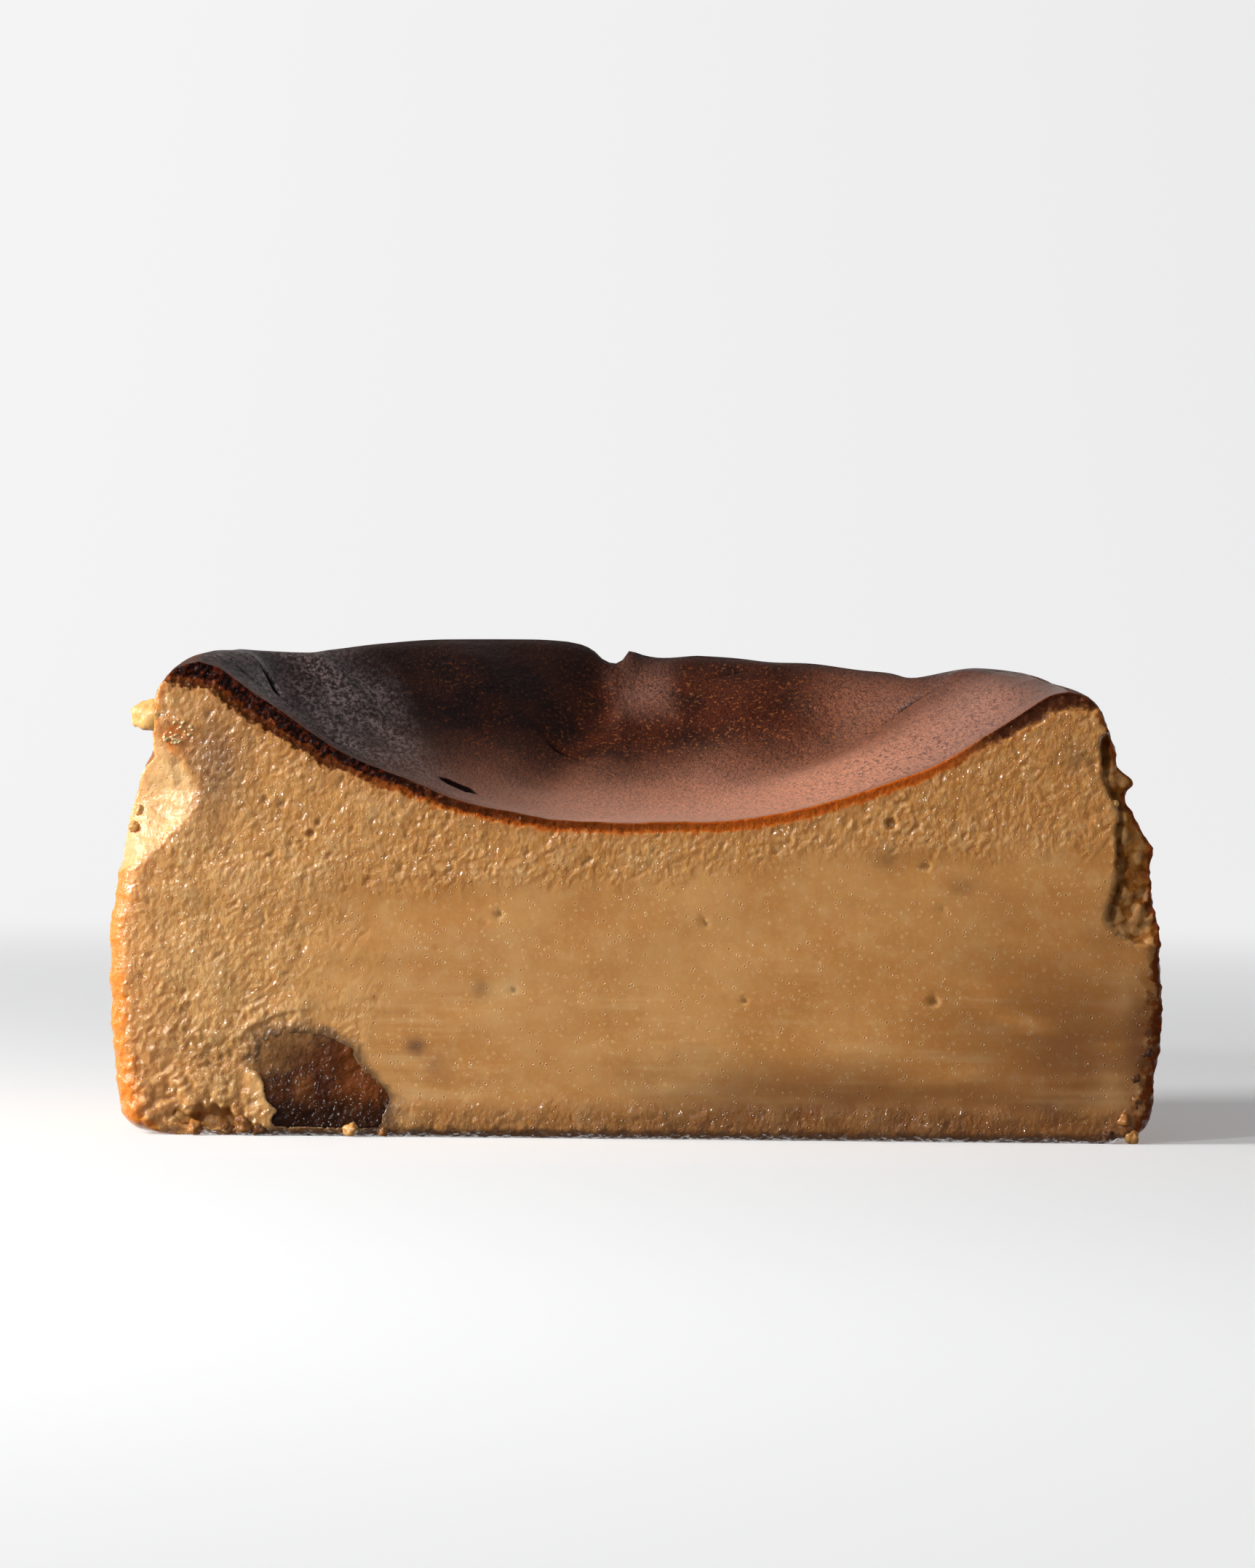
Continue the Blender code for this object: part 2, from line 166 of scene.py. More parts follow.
# The coarse band below the crust ends at this height: (place along X, height).
BAND_FOOT = ((-52, 34.0), (-20, 35.5), (8, 36.8), (16, 38.5), (22, 40.0), (68, 40.8))
BASE_BAND = (6.5, 2.6)  # the lumpy band along the underside fades from here to here
# The curdled lumps: height, width, how much taller than wide they are and how they lean.
LUMPS_LEFT = (0.22, 1.2, 1.0, -0.3)
LUMPS_BAND = (0.22, 1.3, 0.9, -0.3)
LUMPS_BASE = (0.15, 1.5, 0.9, 0.0)
LUMPS_TORN = (0.85, 1.9, 1.1, -0.1)
LUMPS_FACET = (0.50, 2.8, 1.5, 0.3)
LUMPS_CRUST = (0.55, 1.2, 0.8, 0.0)
LUMPS_EDGE = (1.00, 1.5, 1.0, 0.0)
LUMPS_CORNER = (0.95, 2.3, 0.9, 0.2)
# Pits between the lumps: depth, width, how much taller than wide and how they lean.
PITS = (0.20, 1.1, 1.4, -0.4)
# The smears that cutting left: height of the ridges, their length and their thickness.
SMEARS = (0.07, 22.0, 0.8)
# The torn strip: its depth at the crevice and at its outer edge, and how wide the crevice is.
TORN_CREVICE, TORN_FLOOR, CREVICE_WIDE = 2.3, 1.6, 1.2
TORN_WALL = 0.32
TORN_FOOT = (26.8, 32.5)  # the strip rises out of its hollow between these heights
DEEP_FADE = 17.0  # how far into the cake the deep tears pull the shell along
FINE_FADE = 1.2
# How the cut's ends are rounded over: reach and depth, at the left and at the right.
ROUND_LEFT, ROUND_RIGHT = (3.0, 2.0), (2.6, 1.1)
ROUND_BASE = (1.6, 1.1)
# Thickness of the crust where it is cut: (place along X, thickness), and how burnt it is.
CRUST_THICK = (
    (-69, 2.6), (-63, 3.3), (-54, 3.1), (-47, 2.6), (-40, 2.1), (-30, 1.8), (-15, 1.5),
    (5, 1.4), (20, 1.4), (35, 1.3), (47, 1.2), (53, 1.9), (62, 2.4), (67, 2.4),
)  # fmt: skip
CRUST_BURNT = (
    (-69, 1.0), (-50, 1.0), (-42, 0.85), (-32, 0.6), (-20, 0.48), (-8, 0.38), (6, 0.22),
    (18, 0.08), (45, 0.05), (50, 0.35), (54, 0.95), (67, 1.0),
)  # fmt: skip
# Pores of the smooth middle: place along X, height and radius.
PORES = (
    (-19.7, 31.8, 0.62), (-21.5, 31.0, 0.42), (-29.0, 27.4, 0.36), (-0.8, 31.9, 0.40),
    (9.6, 31.1, 0.55), (-17.8, 21.2, 0.42), (15.3, 20.0, 0.62), (43.5, 33.1, 0.55),
    (51.4, 34.6, 0.38), (42.4, 20.1, 0.70), (36.1, 45.5, 0.95), (-45.6, 44.8, 0.50),
    (-46.6, 43.2, 0.70), (41.0, 39.4, 0.70), (2.0, 24.0, 0.30), (26.0, 26.0, 0.30),
)  # fmt: skip
# The custard that lies over the chestnut's left side: (height, how far it reaches along X).
TONGUE = ((-1.0, -51.4), (2.0, -51.8), (3.6, -50.9), (5.0, -52.2), (8.0, -53.2), (9.5, -54.8), (11.0, -58.5))
TONGUE_PROUD = 0.55
# Steps of the cut, where a layer was dragged off: height, half width and the points.
STEPS = ((0.26, 1.4, ((-58.0, 12.6), (-55.0, 15.4), (-51.5, 17.3), (-46.0, 18.3))),)
# How wide the browned skin shows at each end of the cut: (height, width).
SKIN_LEFT = ((0.0, 4.4), (8.0, 3.8), (18.0, 2.8), (30.0, 2.3), (44.0, 1.6), (50.0, 0.5), (68.0, 0.3))
SKIN_RIGHT = ((0.0, 2.6), (8.0, 2.0), (16.0, 2.4), (24.0, 1.6), (28.0, 1.0), (68.0, 0.6))
# Stains of the cut: place along X, height, half width, half height and strength.
# The first mauve one is painted shade below the crust at the left.
MAUVE_STAINS_AND_SHADE = ((-60.5, 53.0, 5.0, 9.0, 0.62), (-31.4, 13.2, 1.5, 1.2, 0.9), (-28.5, 10.5, 2.6, 2.2, 0.35))
# Of the brown ones, the broad one at (62, 14) is painted shade at the lower right, where the lamp's light
# falls off, and the one at (67.5, 33.5) is painted shade in the hollow beside the chestnut bit.
BROWN_STAINS_AND_SHADE = (
    (62.0, 55.7, 2.4, 3.0, 0.45), (59.6, 5.0, 3.6, 1.6, 0.6), (-22.2, 21.3, 1.6, 1.4, 0.45),
    (35.4, 40.5, 2.0, 2.0, 0.45), (67.5, 33.5, 1.6, 0.9, 0.5), (72.0, 15.0, 3.6, 7.0, 0.7),
    (62.0, 14.0, 7.0, 6.0, 0.25), (20.0, 6.5, 26.0, 5.0, 0.28), (46.0, 36.8, 3.0, 1.6, 0.35),
    (-62.0, 11.0, 9.0, 7.0, 0.20),
)  # fmt: skip
ORANGE_STAINS = ((-66.4, 57.0, 3.3, 3.2, 0.9), (-68.5, 52.0, 1.2, 1.5, 0.3))
PALE_STAINS = ((-18.3, 21.3, 2.2, 2.2, 0.6), (67.9, 7.8, 2.6, 4.4, 0.25), (69.3, 20.8, 1.7, 4.0, 0.2))
STAINS = {"mauve": MAUVE_STAINS_AND_SHADE, "brown": BROWN_STAINS_AND_SHADE, "orange": ORANGE_STAINS, "pale": PALE_STAINS}
# The flake of custard on the left edge: its middle and its half sizes along X, Y and Z.
FLAKE_AT, FLAKE_SIZE = (-69.9, 1.2, 59.8), (2.2, 1.2, 2.15)
# White granules below it: how many, the middle, the half width and half height of the patch.
GRANULES = (24, -65.7, 57.4, 2.2, 1.9)
GRANULE_RADIUS = (0.12, 0.24)
# Crumbs: place along X, height, how proud they are of the cut, radius and how brown they are.
CRUMBS = (
    (-40.6, 1.0, 0.3, 0.95, 0.25), (70.9, 1.1, 0.2, 1.0, 0.3), (66.5, 52.0, -0.1, 0.55, 0.15),
    (68.1, 48.6, -0.1, 0.45, 0.2), (68.4, 39.6, -0.1, 0.35, 0.3), (-71.4, 46.3, 0.0, 0.8, 0.15),
    (-71.9, 43.8, 0.0, 0.9, 0.22), (-62.8, 1.0, -0.2, 1.1, 0.55), (-58.3, 0.9, -0.3, 0.9, 0.8),
    (-56.0, 1.5, -0.3, 1.3, 0.7), (-53.6, 0.9, -0.3, 1.0, 0.85), (-64.6, 2.6, -0.2, 1.2, 0.2),
    (-51.5, 2.0, 0.2, 0.8, 0.35), (-36.0, 0.8, 0.0, 0.7, 0.7), (73.7, 19.6, -1.0, 0.9, 1.0),
    (72.8, 13.2, -0.6, 0.9, 0.95), (71.5, 6.2, -0.4, 1.0, 0.8), (69.9, 3.6, -0.2, 0.9, 0.6),
    (71.3, 9.3, -0.3, 0.7, 0.9), (73.4, 16.8, -0.8, 0.6, 1.0), (67.4, 1.2, 0.0, 0.8, 0.9),
)  # fmt: skip

# ---- Meshes ----
FACE_FINE, FACE_COARSE = 0.31, 0.70  # spacing of the cut's points
SHELL_FINE, TOP_COARSE, SIDE_COARSE, UNDER_COARSE = 0.45, 0.95, 1.25, 6.0
GROWTH = 1.14
CRACK_FINE, CRACK_REACH = 0.40, 1.4  # spacing along the cracks of the top, and how far it reaches
CHESTNUT_FINENESS, BIT_FINENESS, CRUMB_FINENESS = 5, 4, 3  # how often each ball is split
FACE_BOX = (-76.0, 76.0, 0.0, 72.0)  # holds the whole cut
ARC_RADIUS = 75.0  # of the side, unrolled
GRID_WANDER = 0.14  # unevenness of a grid, as a share of its spacing
SEED = 7

MERGE = 1e-6  # points of a patch nearer than this are one
# Turns the noise, so that none of its bumps line up with X, Y or Z.
ASKEW = np.array(((0.36, 0.48, -0.80), (-0.80, 0.60, 0.00), (0.48, 0.64, 0.60)))


def curve(points, at):
    """The height at `at` of a smooth curve through the points, which never overshoots them."""
    xs, ys = np.array(points, float).T
    width = np.diff(xs)
    slope = np.diff(ys) / width
    before, after = slope[:-1], slope[1:]
    same_way = before * after > 0
    total = np.where(same_way, before + after, 1.0)
    inner = np.where(same_way, 2 * before * after / total, 0.0)
    tangent = np.concatenate(([slope[0]], inner, [slope[-1]]))
    at = np.clip(at, xs[0], xs[-1])
    i = np.clip(np.searchsorted(xs, at) - 1, 0, len(width) - 1)
    t = (at - xs[i]) / width[i]
    rise = ys[i] * (1 + 2 * t) * (1 - t) ** 2 + ys[i + 1] * t * t * (3 - 2 * t)
    return rise + width[i] * (tangent[i] * t * (1 - t) ** 2 - tangent[i + 1] * t * t * (1 - t))


def ramp(low, high, value):
    """0 at low, 1 at high and smooth between them."""
    t = np.clip((value - low) / (high - low), 0.0, 1.0)
    return t * t * (3 - 2 * t)


def bell(value, width):
    return np.exp(-((value / width) ** 2))


def lumps(size, *places):
    """Smooth unevenness from -1 to 1 at each place, with bumps about `size` wide."""
    rows = np.broadcast_arrays(*places)
    rows = np.stack([np.ravel(r) for r in rows], 1) @ ASKEW / size
    return np.array([noise.noise(Vector(row)) for row in rows.tolist()])


def waves(rows, x, z):
    """The sum of several lots of lumps: height, size and seed of each."""
    return sum(height * lumps(size, x, z, seed) for height, size, seed in rows)


def curds(size, taller, lean, x, z, seed):
    """Rounded lumps with creases between them: 0 in a crease and about 1 on top of a lump."""
    a, b = (x + lean * z) / size, z / (size * taller)
    big = np.abs(lumps(1.0, a, b, seed))
    small = np.abs(lumps(0.45, a, b, seed + 5.0))
    return 2.2 * (0.62 * big + 0.38 * small)


def soft_lumps(size, taller, lean, x, z, seed):
    """Soft lumps of two sizes, mostly between 0 and 1."""
    a, b = (x + lean * z) / size, z / (size * taller)
    sizes = ((0.55, 1.0), (0.80, 0.52))
    return 0.5 + sum(share * lumps(step, a, b, seed + 4.0 * step) for share, step in sizes)


def domes(size, taller, lean, x, z, seed):
    """Round lumps side by side: about 1 on top of a lump and 0 in the creases between them."""
    a, b = (x + lean * z) / size, z / (size * taller)
    a, b = a + 0.35 * lumps(1.4, a, b, seed), b + 0.35 * lumps(1.4, a, b, seed + 3.0)
    rows = np.stack([a, b, np.full_like(a, seed)], 1) @ ASKEW
    off = np.array([noise.voronoi(Vector(row))[0][0] for row in rows.tolist()])
    return 1.0 - off**2 / 0.6


def off_line(points, x, y):
    """The distance from each (x, y) to the line through the points, and how far along it is."""
    nearest, share = np.full_like(x, np.inf), np.zeros_like(x)
    for i, (a, b) in enumerate(zip(points, points[1:])):
        dx, dy = b[0] - a[0], b[1] - a[1]
        t = np.clip(((x - a[0]) * dx + (y - a[1]) * dy) / (dx * dx + dy * dy), 0.0, 1.0)
        gap = np.hypot(x - a[0] - t * dx, y - a[1] - t * dy)
        closer = gap < nearest
        nearest = np.where(closer, gap, nearest)
        share = np.where(closer, (i + t) / (len(points) - 1), share)
    return nearest, share


def fold(angle, column):
    return sum(row[column] * bell(angle - row[0], row[1]) for row in FOLDS)


def wider(angle, level):
    lean = curve(LEAN, angle) * level**LEAN_POWER
    return lean - fold(angle, 2) * (FOLD_AT_BASE + (1 - FOLD_AT_BASE) * level)


# ---- The shell: where a point of the top, the side or the underside lies ----


def cracks(x, y):
    """How deep the cracks of the top are and how dark the shade painted into them is, on a round cake of
    radius CREST_R.
    """
    wander = waves(CRACK_WANDER, x, y)
    deepest, crack_shade = np.zeros_like(x), np.zeros_like(x)
    for depth, width, shade_strength, points in CRACKS:
        gap, along = off_line(points, x + wander, y - wander)
        ends = np.sin(math.pi * np.clip(0.04 + 0.92 * along, 0, 1)) ** 0.8
        deepest = np.maximum(deepest, depth * ends * bell(gap, width))
        crack_shade = np.maximum(crack_shade, shade_strength * ends * bell(gap, width))
    return deepest, crack_shade


def top_points(x, y):
    """Points of the top, from their places on a round cake of radius CREST_R."""
    r = np.hypot(x, y)
    angle = np.degrees(np.arctan2(y, x))
    share = r / CREST_R
    height = CENTRE_Z + (curve(RIM, angle) - CENTRE_Z) * curve(BOWL, share)
    for row in FOLDS:
        height -= row[3] * ramp(row[4], 1.0, share) * bell(angle - row[0], row[1])
    height -= curve(NOTCH, angle) * ramp(NOTCH_REACH, 1.0, share)
    for rise, width, points in TOP_LINES:
        gap, along = off_line(points, x, y)
        ends = np.sin(math.pi * (LINE_ENDS + (1 - 2 * LINE_ENDS) * along))
        height += rise * ends * ramp(1.0, LINES_FADE_FROM, share) * bell(gap, width)
    inside = ramp(1.0, 0.97, share)
    height -= cracks(x, y)[0] * inside
    for depth, width, at_x, at_y in DENTS:
        height -= depth * bell(np.hypot(x - at_x, y - at_y), width)
    for rise, size in TOP_WAVES:
        height += rise * inside * lumps(size, x, y, 12.0)
    grow = 1.0 + wider(angle, 1.0) * ramp(WIDER_FROM, 1.0, share) / np.maximum(r, 1.0)
    return np.stack([x * grow, y * grow, height], 1)


def side_points(angle, down):
    """Points of the side, from their angle and how far down the profile they are, from 0 to 1."""
    reach, z = curve(SIDE_R, down), curve(SIDE_Z, down)
    level = z / CREST_Z
    rim = curve(RIM, angle) - fold(angle, 3) - curve(NOTCH, angle)
    turn = np.radians(angle)
    x, y = reach * np.cos(turn), reach * np.sin(turn)
    off_ends = ramp(0.0, 0.06, down) * ramp(1.0, 0.95, down)
    reach = reach + wider(angle, level)
    for rise, size in SIDE_WAVES:
        reach = reach + rise * off_ends * lumps(size, x, y, z)
    for at_z, half_z, at_angle, half_angle, proud in BULGES:
        reach = reach + proud * bell(z - at_z, half_z) * bell(angle - at_angle, half_angle)
    near_cut = off_ends * bell(np.minimum(angle, 180.0 - angle), END_CRUMBS_REACH)
    near_cut = near_cut * (1 + 0.9 * bell(z - 42.0, 16.0) * (angle < 90))
    for rise, size in END_CRUMBS:
        reach = reach + rise * near_cut * lumps(size, x, y, z + 50.0)
    return np.stack([reach * np.cos(turn), reach * np.sin(turn), level * rim], 1)


def under_points(x, y):
    r = np.hypot(x, y)
    grow = 1.0 + wider(np.degrees(np.arctan2(y, x)), 0.0) / np.maximum(r, 1.0)
    return np.stack([x * grow, y * grow, np.zeros_like(x)], 1)


SIDE_STEPS = np.hypot(*np.diff(np.array(SIDE), axis=0).T)
SIDE_LENGTH = SIDE_STEPS.sum()
SIDE_SHARES = np.concatenate(([0.0], np.cumsum(SIDE_STEPS))) / SIDE_LENGTH
SIDE_R = tuple(zip(SIDE_SHARES, [r for _, r in SIDE]))
SIDE_Z = tuple(zip(SIDE_SHARES, [z for z, _ in SIDE]))
UNDER_R = SIDE[-1][1]


# ---- The cut: how far each of its points is set back ----


class Outline:
    """The flat outline of the cut, with the distances from it."""

    def __init__(self):
        down = np.linspace(0, 1, 240)
        self.left = side_points(np.full_like(down, 180.0), down)[::-1]
        self.right = side_points(np.zeros_like(down), down)[::-1]
        across = np.linspace(-CREST_R, CREST_R, 400)
        self.top = top_points(across, np.zeros_like(across))

    def top_z(self, x):
        return np.interp(x, self.top[:, 0], self.top[:, 2])

    def ends(self, z):
        """Where the cut ends at the left and at the right, at each height."""
        left = np.interp(z, self.left[:, 2], self.left[:, 0])
        right = np.interp(z, self.right[:, 2], self.right[:, 0])
        return left, right

    def below_top(self, x, z):
        """How far under the crust's surface, square to it."""
        slope = (self.top_z(x + 0.5) - self.top_z(x - 0.5)) / 1.0
        return (self.top_z(x) - z) / np.hypot(1.0, np.clip(slope, -1.2, 1.2))


def chestnut_reach(x, z):
    """How far out each place is from the chestnut's middle: 1 on its outline."""
    dx, dz = x - CHESTNUT_AT[0], z - CHESTNUT_AT[2]
    outline = curve(CHESTNUT_OUTLINE, np.degrees(np.arctan2(dz, dx)))
    outline = outline + 0.25 * lumps(1.4, x, z, 4.0)
    return np.maximum(np.hypot(dx, dz) / outline, ramp(1.6, 1.0, z - CHESTNUT_FOOT + 1.2) * 1.2)


def torn_strip(x, z):
    """0 on the cut and 1 in the torn strip at its right end."""
    edge = curve(TORN_RIGHT, z) + 0.35 * lumps(1.5, x, z, 2.0) + 0.25 * lumps(0.7, x, z, 3.0)
    wall = TORN_WALL * (1 + 0.9 * lumps(2.2, x, z, 27.0))
    return ramp(-wall, wall, x - edge)


def masks(x, z, outline):
    """The zones of the cut by name, most of them from 0 to 1."""
    wander = waves(ZONE_WANDER, x, z)
    left = ramp(CURDS_FROM, CURDS_TO, x + 5.0 * wander)
    drips = 0.9 * wander + 1.1 * lumps(2.2, x, 0.5 * z, 21.0)
    band = ramp(-1.6, 2.4, z - curve(BAND_FOOT, x) + drips)
    base = ramp(*BASE_BAND, z + 0.7 * wander)
    below = outline.below_top(x, z)
    thick = curve(CRUST_THICK, x)
    thick = thick * (1 + 0.16 * lumps(2.2, x, z, 1.0) + 0.14 * lumps(0.9, x, z, 6.0))
    crust = below / thick
    torn = torn_strip(x, z)
    ends = outline.ends(z)
    from_side = np.minimum(x - ends[0], ends[1] - x)
    facet = curve(TORN_LEFT, z) - x + 0.5 * lumps(2.4, x, z, 17.0) + 0.25 * lumps(1.0, x, z, 3.0)
    tongue = ramp(0.25, -0.25, x - curve(TONGUE, z) + 0.25 * lumps(0.9, x, z, 8.0))
    reach = chestnut_reach(x, z)
    pocket = ramp(0.97, 0.88, reach) * (1 - tongue)
    return {
        "left": left, "band": band, "base": base, "crust": crust, "torn": torn,
        "side": from_side, "facet": facet, "tongue": tongue, "pocket": pocket,
        "below": below, "reach": reach,
    }  # fmt: skip


def set_back(x, z, zone, outline):
    """How deep the cut lies at each place: its tears and rounded ends, and its fine relief."""
    torn, side = zone["torn"], np.maximum(zone["side"], 0.0)
    edge = curve(TORN_RIGHT, z)
    floor = TORN_FLOOR + (TORN_CREVICE - TORN_FLOOR) * ramp(CREVICE_WIDE, 0.0, x - edge)
    floor = floor * (1 + 0.35 * lumps(4.0, x, z, 23.0)) + 0.8 * lumps(1.5, x, z, 24.0)
    deep = torn * floor * ramp(*TORN_FOOT, z)
    facet = np.maximum(zone["facet"], 0.0)
    deep += TORN_LEFT_MOST * np.tanh(TORN_LEFT_SLOPE * facet / TORN_LEFT_MOST)
    middle_x, middle_z, half_x, half_z, depth = HOLLOW
    hollow = np.hypot((x - middle_x) / half_x, (z - middle_z) / half_z)
    deep += depth * ramp(1.0, 0.3, hollow + 0.7 * lumps(1.7, x, z, 13.0))
    at_left = x < 0
    reach = np.where(at_left, ROUND_LEFT[0], ROUND_RIGHT[0])
    depth = np.where(at_left, ROUND_LEFT[1], ROUND_RIGHT[1])
    low = ramp(50.0, 40.0, z) * (1 - torn)
    deep += depth * low * np.clip(1 - side / reach, 0.0, 1.0) ** 2.4
    deep += ROUND_BASE[1] * np.clip(1 - z / ROUND_BASE[0], 0.0, 1.0) ** 2

    on_facet = ramp(0.0, 1.5, zone["facet"])
    rough = np.maximum(zone["left"], 0.8 * zone["base"])
    wet = np.maximum(rough, zone["band"])
    fine = CURDS[0] * rough * lumps(1.0, x / CURDS[1], z / CURDS[2], CURDS[3])
    fine += CREAM[0] * lumps(1.0, x / CREAM[1], z / CREAM[2], CREAM[3])
    in_crust = ramp(1.15, 0.9, zone["crust"]) * ramp(0.05, 0.35, zone["below"])
    burnt = curve(CRUST_BURNT, x)
    plain = (1 - torn) * (1 - in_crust)
    crumbly = (x > 0) * ramp(3.2, 1.0, zone["side"]) * ramp(29.0, 25.0, z)
    corner = ramp(-51.0, -58.0, x) * ramp(12.0, 5.0, z)
    left = zone["left"] * (1 + 0.7 * ramp(24.0, 12.0, z)) * plain * (1 - on_facet)
    kinds = (
        (domes, LUMPS_EDGE, crumbly, 6.0),
        (domes, LUMPS_CORNER, corner, 8.0),
        (soft_lumps, LUMPS_LEFT, left, 1.0),
        (soft_lumps, LUMPS_BAND, zone["band"] * (1 - zone["left"]) * plain, 2.0),
        (domes, LUMPS_BASE, zone["base"] * plain, 3.0),
        (domes, LUMPS_TORN, torn, 4.0),
        (domes, LUMPS_FACET, on_facet, 4.0),
        (curds, LUMPS_CRUST, in_crust * (0.10 + 0.90 * burnt), 5.0),
    )
    for shape, (height, size, taller, lean), share, seed in kinds:
        at = share > 0.01
        wander = 0.3 * size * lumps(size * 1.3, x[at], z[at], 20.0 + seed)
        bumps = shape(size, taller, lean, x[at] + wander, z[at] - wander, seed)
        strength = 0.7 + 0.6 * lumps(size * 2.5, x[at], z[at], 40.0 + seed)
        fine[at] -= height * share[at] * np.maximum(strength, 0.15) * (bumps - 0.5)
    depth, size, taller, lean = PITS
    pits = lumps(1.0, (x + lean * z) / size, z / (size * taller), 60.0)
    fine += depth * ramp(0.48, 0.72, pits) * wet * plain
    fine += 0.5 * in_crust * burnt
    ridges = lumps(1.0, x / SMEARS[1], z / SMEARS[2], 3.0)
    smooth = (1 - zone["band"]) * (1 - zone["base"]) * (1 - zone["left"]) * (1 - torn)
    fine += SMEARS[0] * ridges * ramp(30.0, 22.0, z) * smooth
    fine += SMEARS[0] * 0.7 * lumps(1.0, x / 30.0, z / 1.4, 9.0) * zone["left"]
    for at_x, at_z, radius in PORES:
        gap = np.hypot(x - at_x, z - at_z) / radius
        fine += radius * 0.9 * ramp(1.0, 0.35, gap) - 0.05 * bell(gap - 1.25, 0.3)
    for height, width, points in STEPS:
        gap, along = off_line(points, x, z + 0.5 * lumps(2.5, x, z, 15.0))
        line_z = np.interp(x, [p[0] for p in points], [p[1] for p in points])
        above = np.where(z > line_z, 1.0, -0.35)
        ends = np.sin(math.pi * np.clip(along, 0.02, 0.98)) ** 0.5
        fine -= height * ends * above * bell(gap, width)
    fine -= TONGUE_PROUD * zone["tongue"] * ramp(1.3, 0.9, zone["reach"])
    reach = np.minimum(zone["reach"], 1.0)
    deep += zone["pocket"] * (CHESTNUT_DEPTH * CHESTNUT_BACK * np.sqrt(1 - reach**2) + 0.9)
    return deep, fine


# ---- Meshes built from patches that share their edges ----


def graded(length, fine, coarse):
    """(distance, step) pairs from 0 to the length, with steps that grow from fine to coarse."""
    rows, at, step = [], 0.0, fine
    while at + step < length:
        at += step
        rows.append((at, step))
        step = min(step * GROWTH, coarse)
    return rows


def half_disc(radius, fine, coarse):
    """Points inside half a disc, close together near its straight edge."""
    points = []
    for n, (y, step) in enumerate(graded(radius, fine, coarse)):
        half = math.sqrt(radius**2 - y**2) - 0.7 * step
        if half > 0:
            xs = np.arange(-half + (n % 2) * step / 2, half, step)
            points += [(x, y) for x in xs]
    return np.array(points)


def with_cracks(points):
    """The top's points, with a close grid of them along each crack."""
    close = hexagons(-CREST_R, CREST_R, 0.6, CREST_R, CRACK_FINE)
    apart = [np.full(len(grid), np.inf) for grid in (points, close)]
    for _, _, _, line in CRACKS:
        apart = [np.minimum(gap, off_line(line, *g.T)[0]) for gap, g in zip(apart, (points, close))]
    close = close[(apart[1] < CRACK_REACH) & (np.hypot(*close.T) < CREST_R - 0.6)]
    return np.concatenate([points[apart[0] > CRACK_REACH + 0.3], close])


def strip(length, height, fine, coarse):
    """Points inside a long strip, close together near both of its ends."""
    half = graded(length / 2, fine, coarse)
    columns = half + [(length - at, step) for at, step in half]
    points = []
    for n, (at, step) in enumerate(columns):
        rows = np.arange(0.6 * step + (n % 2) * step / 2, height - 0.5 * step, step)
        points += [(at, row) for row in rows]
    return np.array(points)


def hexagons(x0, x1, y0, y1, step):
    """Points of a slightly uneven triangular grid over a box."""
    rows = np.arange(y0, y1, step * 0.866)
    columns = np.arange(x0, x1, step)
    xs, ys = np.meshgrid(columns, rows)
    xs = xs + np.where(np.arange(len(rows)) % 2, step / 2, 0.0)[:, None]
    points = np.stack([xs.ravel(), ys.ravel()], 1)
    return points + rng.uniform(-GRID_WANDER, GRID_WANDER, points.shape) * step


class Patches:
    """A mesh under construction: points in space, and triangles made patch by patch."""

    def __init__(self):
        self.points, self.count, self.triangles, self.kinds = [], 0, [], []

    def add(self, points):
        """Adds points and returns their numbers."""
        self.points.append(points)
        self.count += len(points)
        return np.arange(self.count - len(points), self.count)

    def fill(self, loop, loop_flat, inner, inner_flat, kind):
        """Triangles over a flat patch: its edge, in order, and the points inside it."""
        numbers = np.concatenate([loop, inner])
        flat = [Vector(p) for p in np.concatenate([loop_flat, inner_flat]).tolist()]
        a, b = loop_flat, np.roll(loop_flat, -1, 0)
        turns_left = (a[:, 0] * b[:, 1] - b[:, 0] * a[:, 1]).sum() > 0
        edge = list(range(len(loop)))[:: 1 if turns_left else -1]
        made = delaunay_2d_cdt(flat, [], [edge], 0, MERGE, True)
        origins = [o[0] for o in made[3]]
        inside = [face for face, part in zip(made[2], made[5]) if part]
        faces = [[numbers[origins[v]] for v in face] for face in inside]
        self.triangles += faces
        self.kinds += [kind] * len(faces)


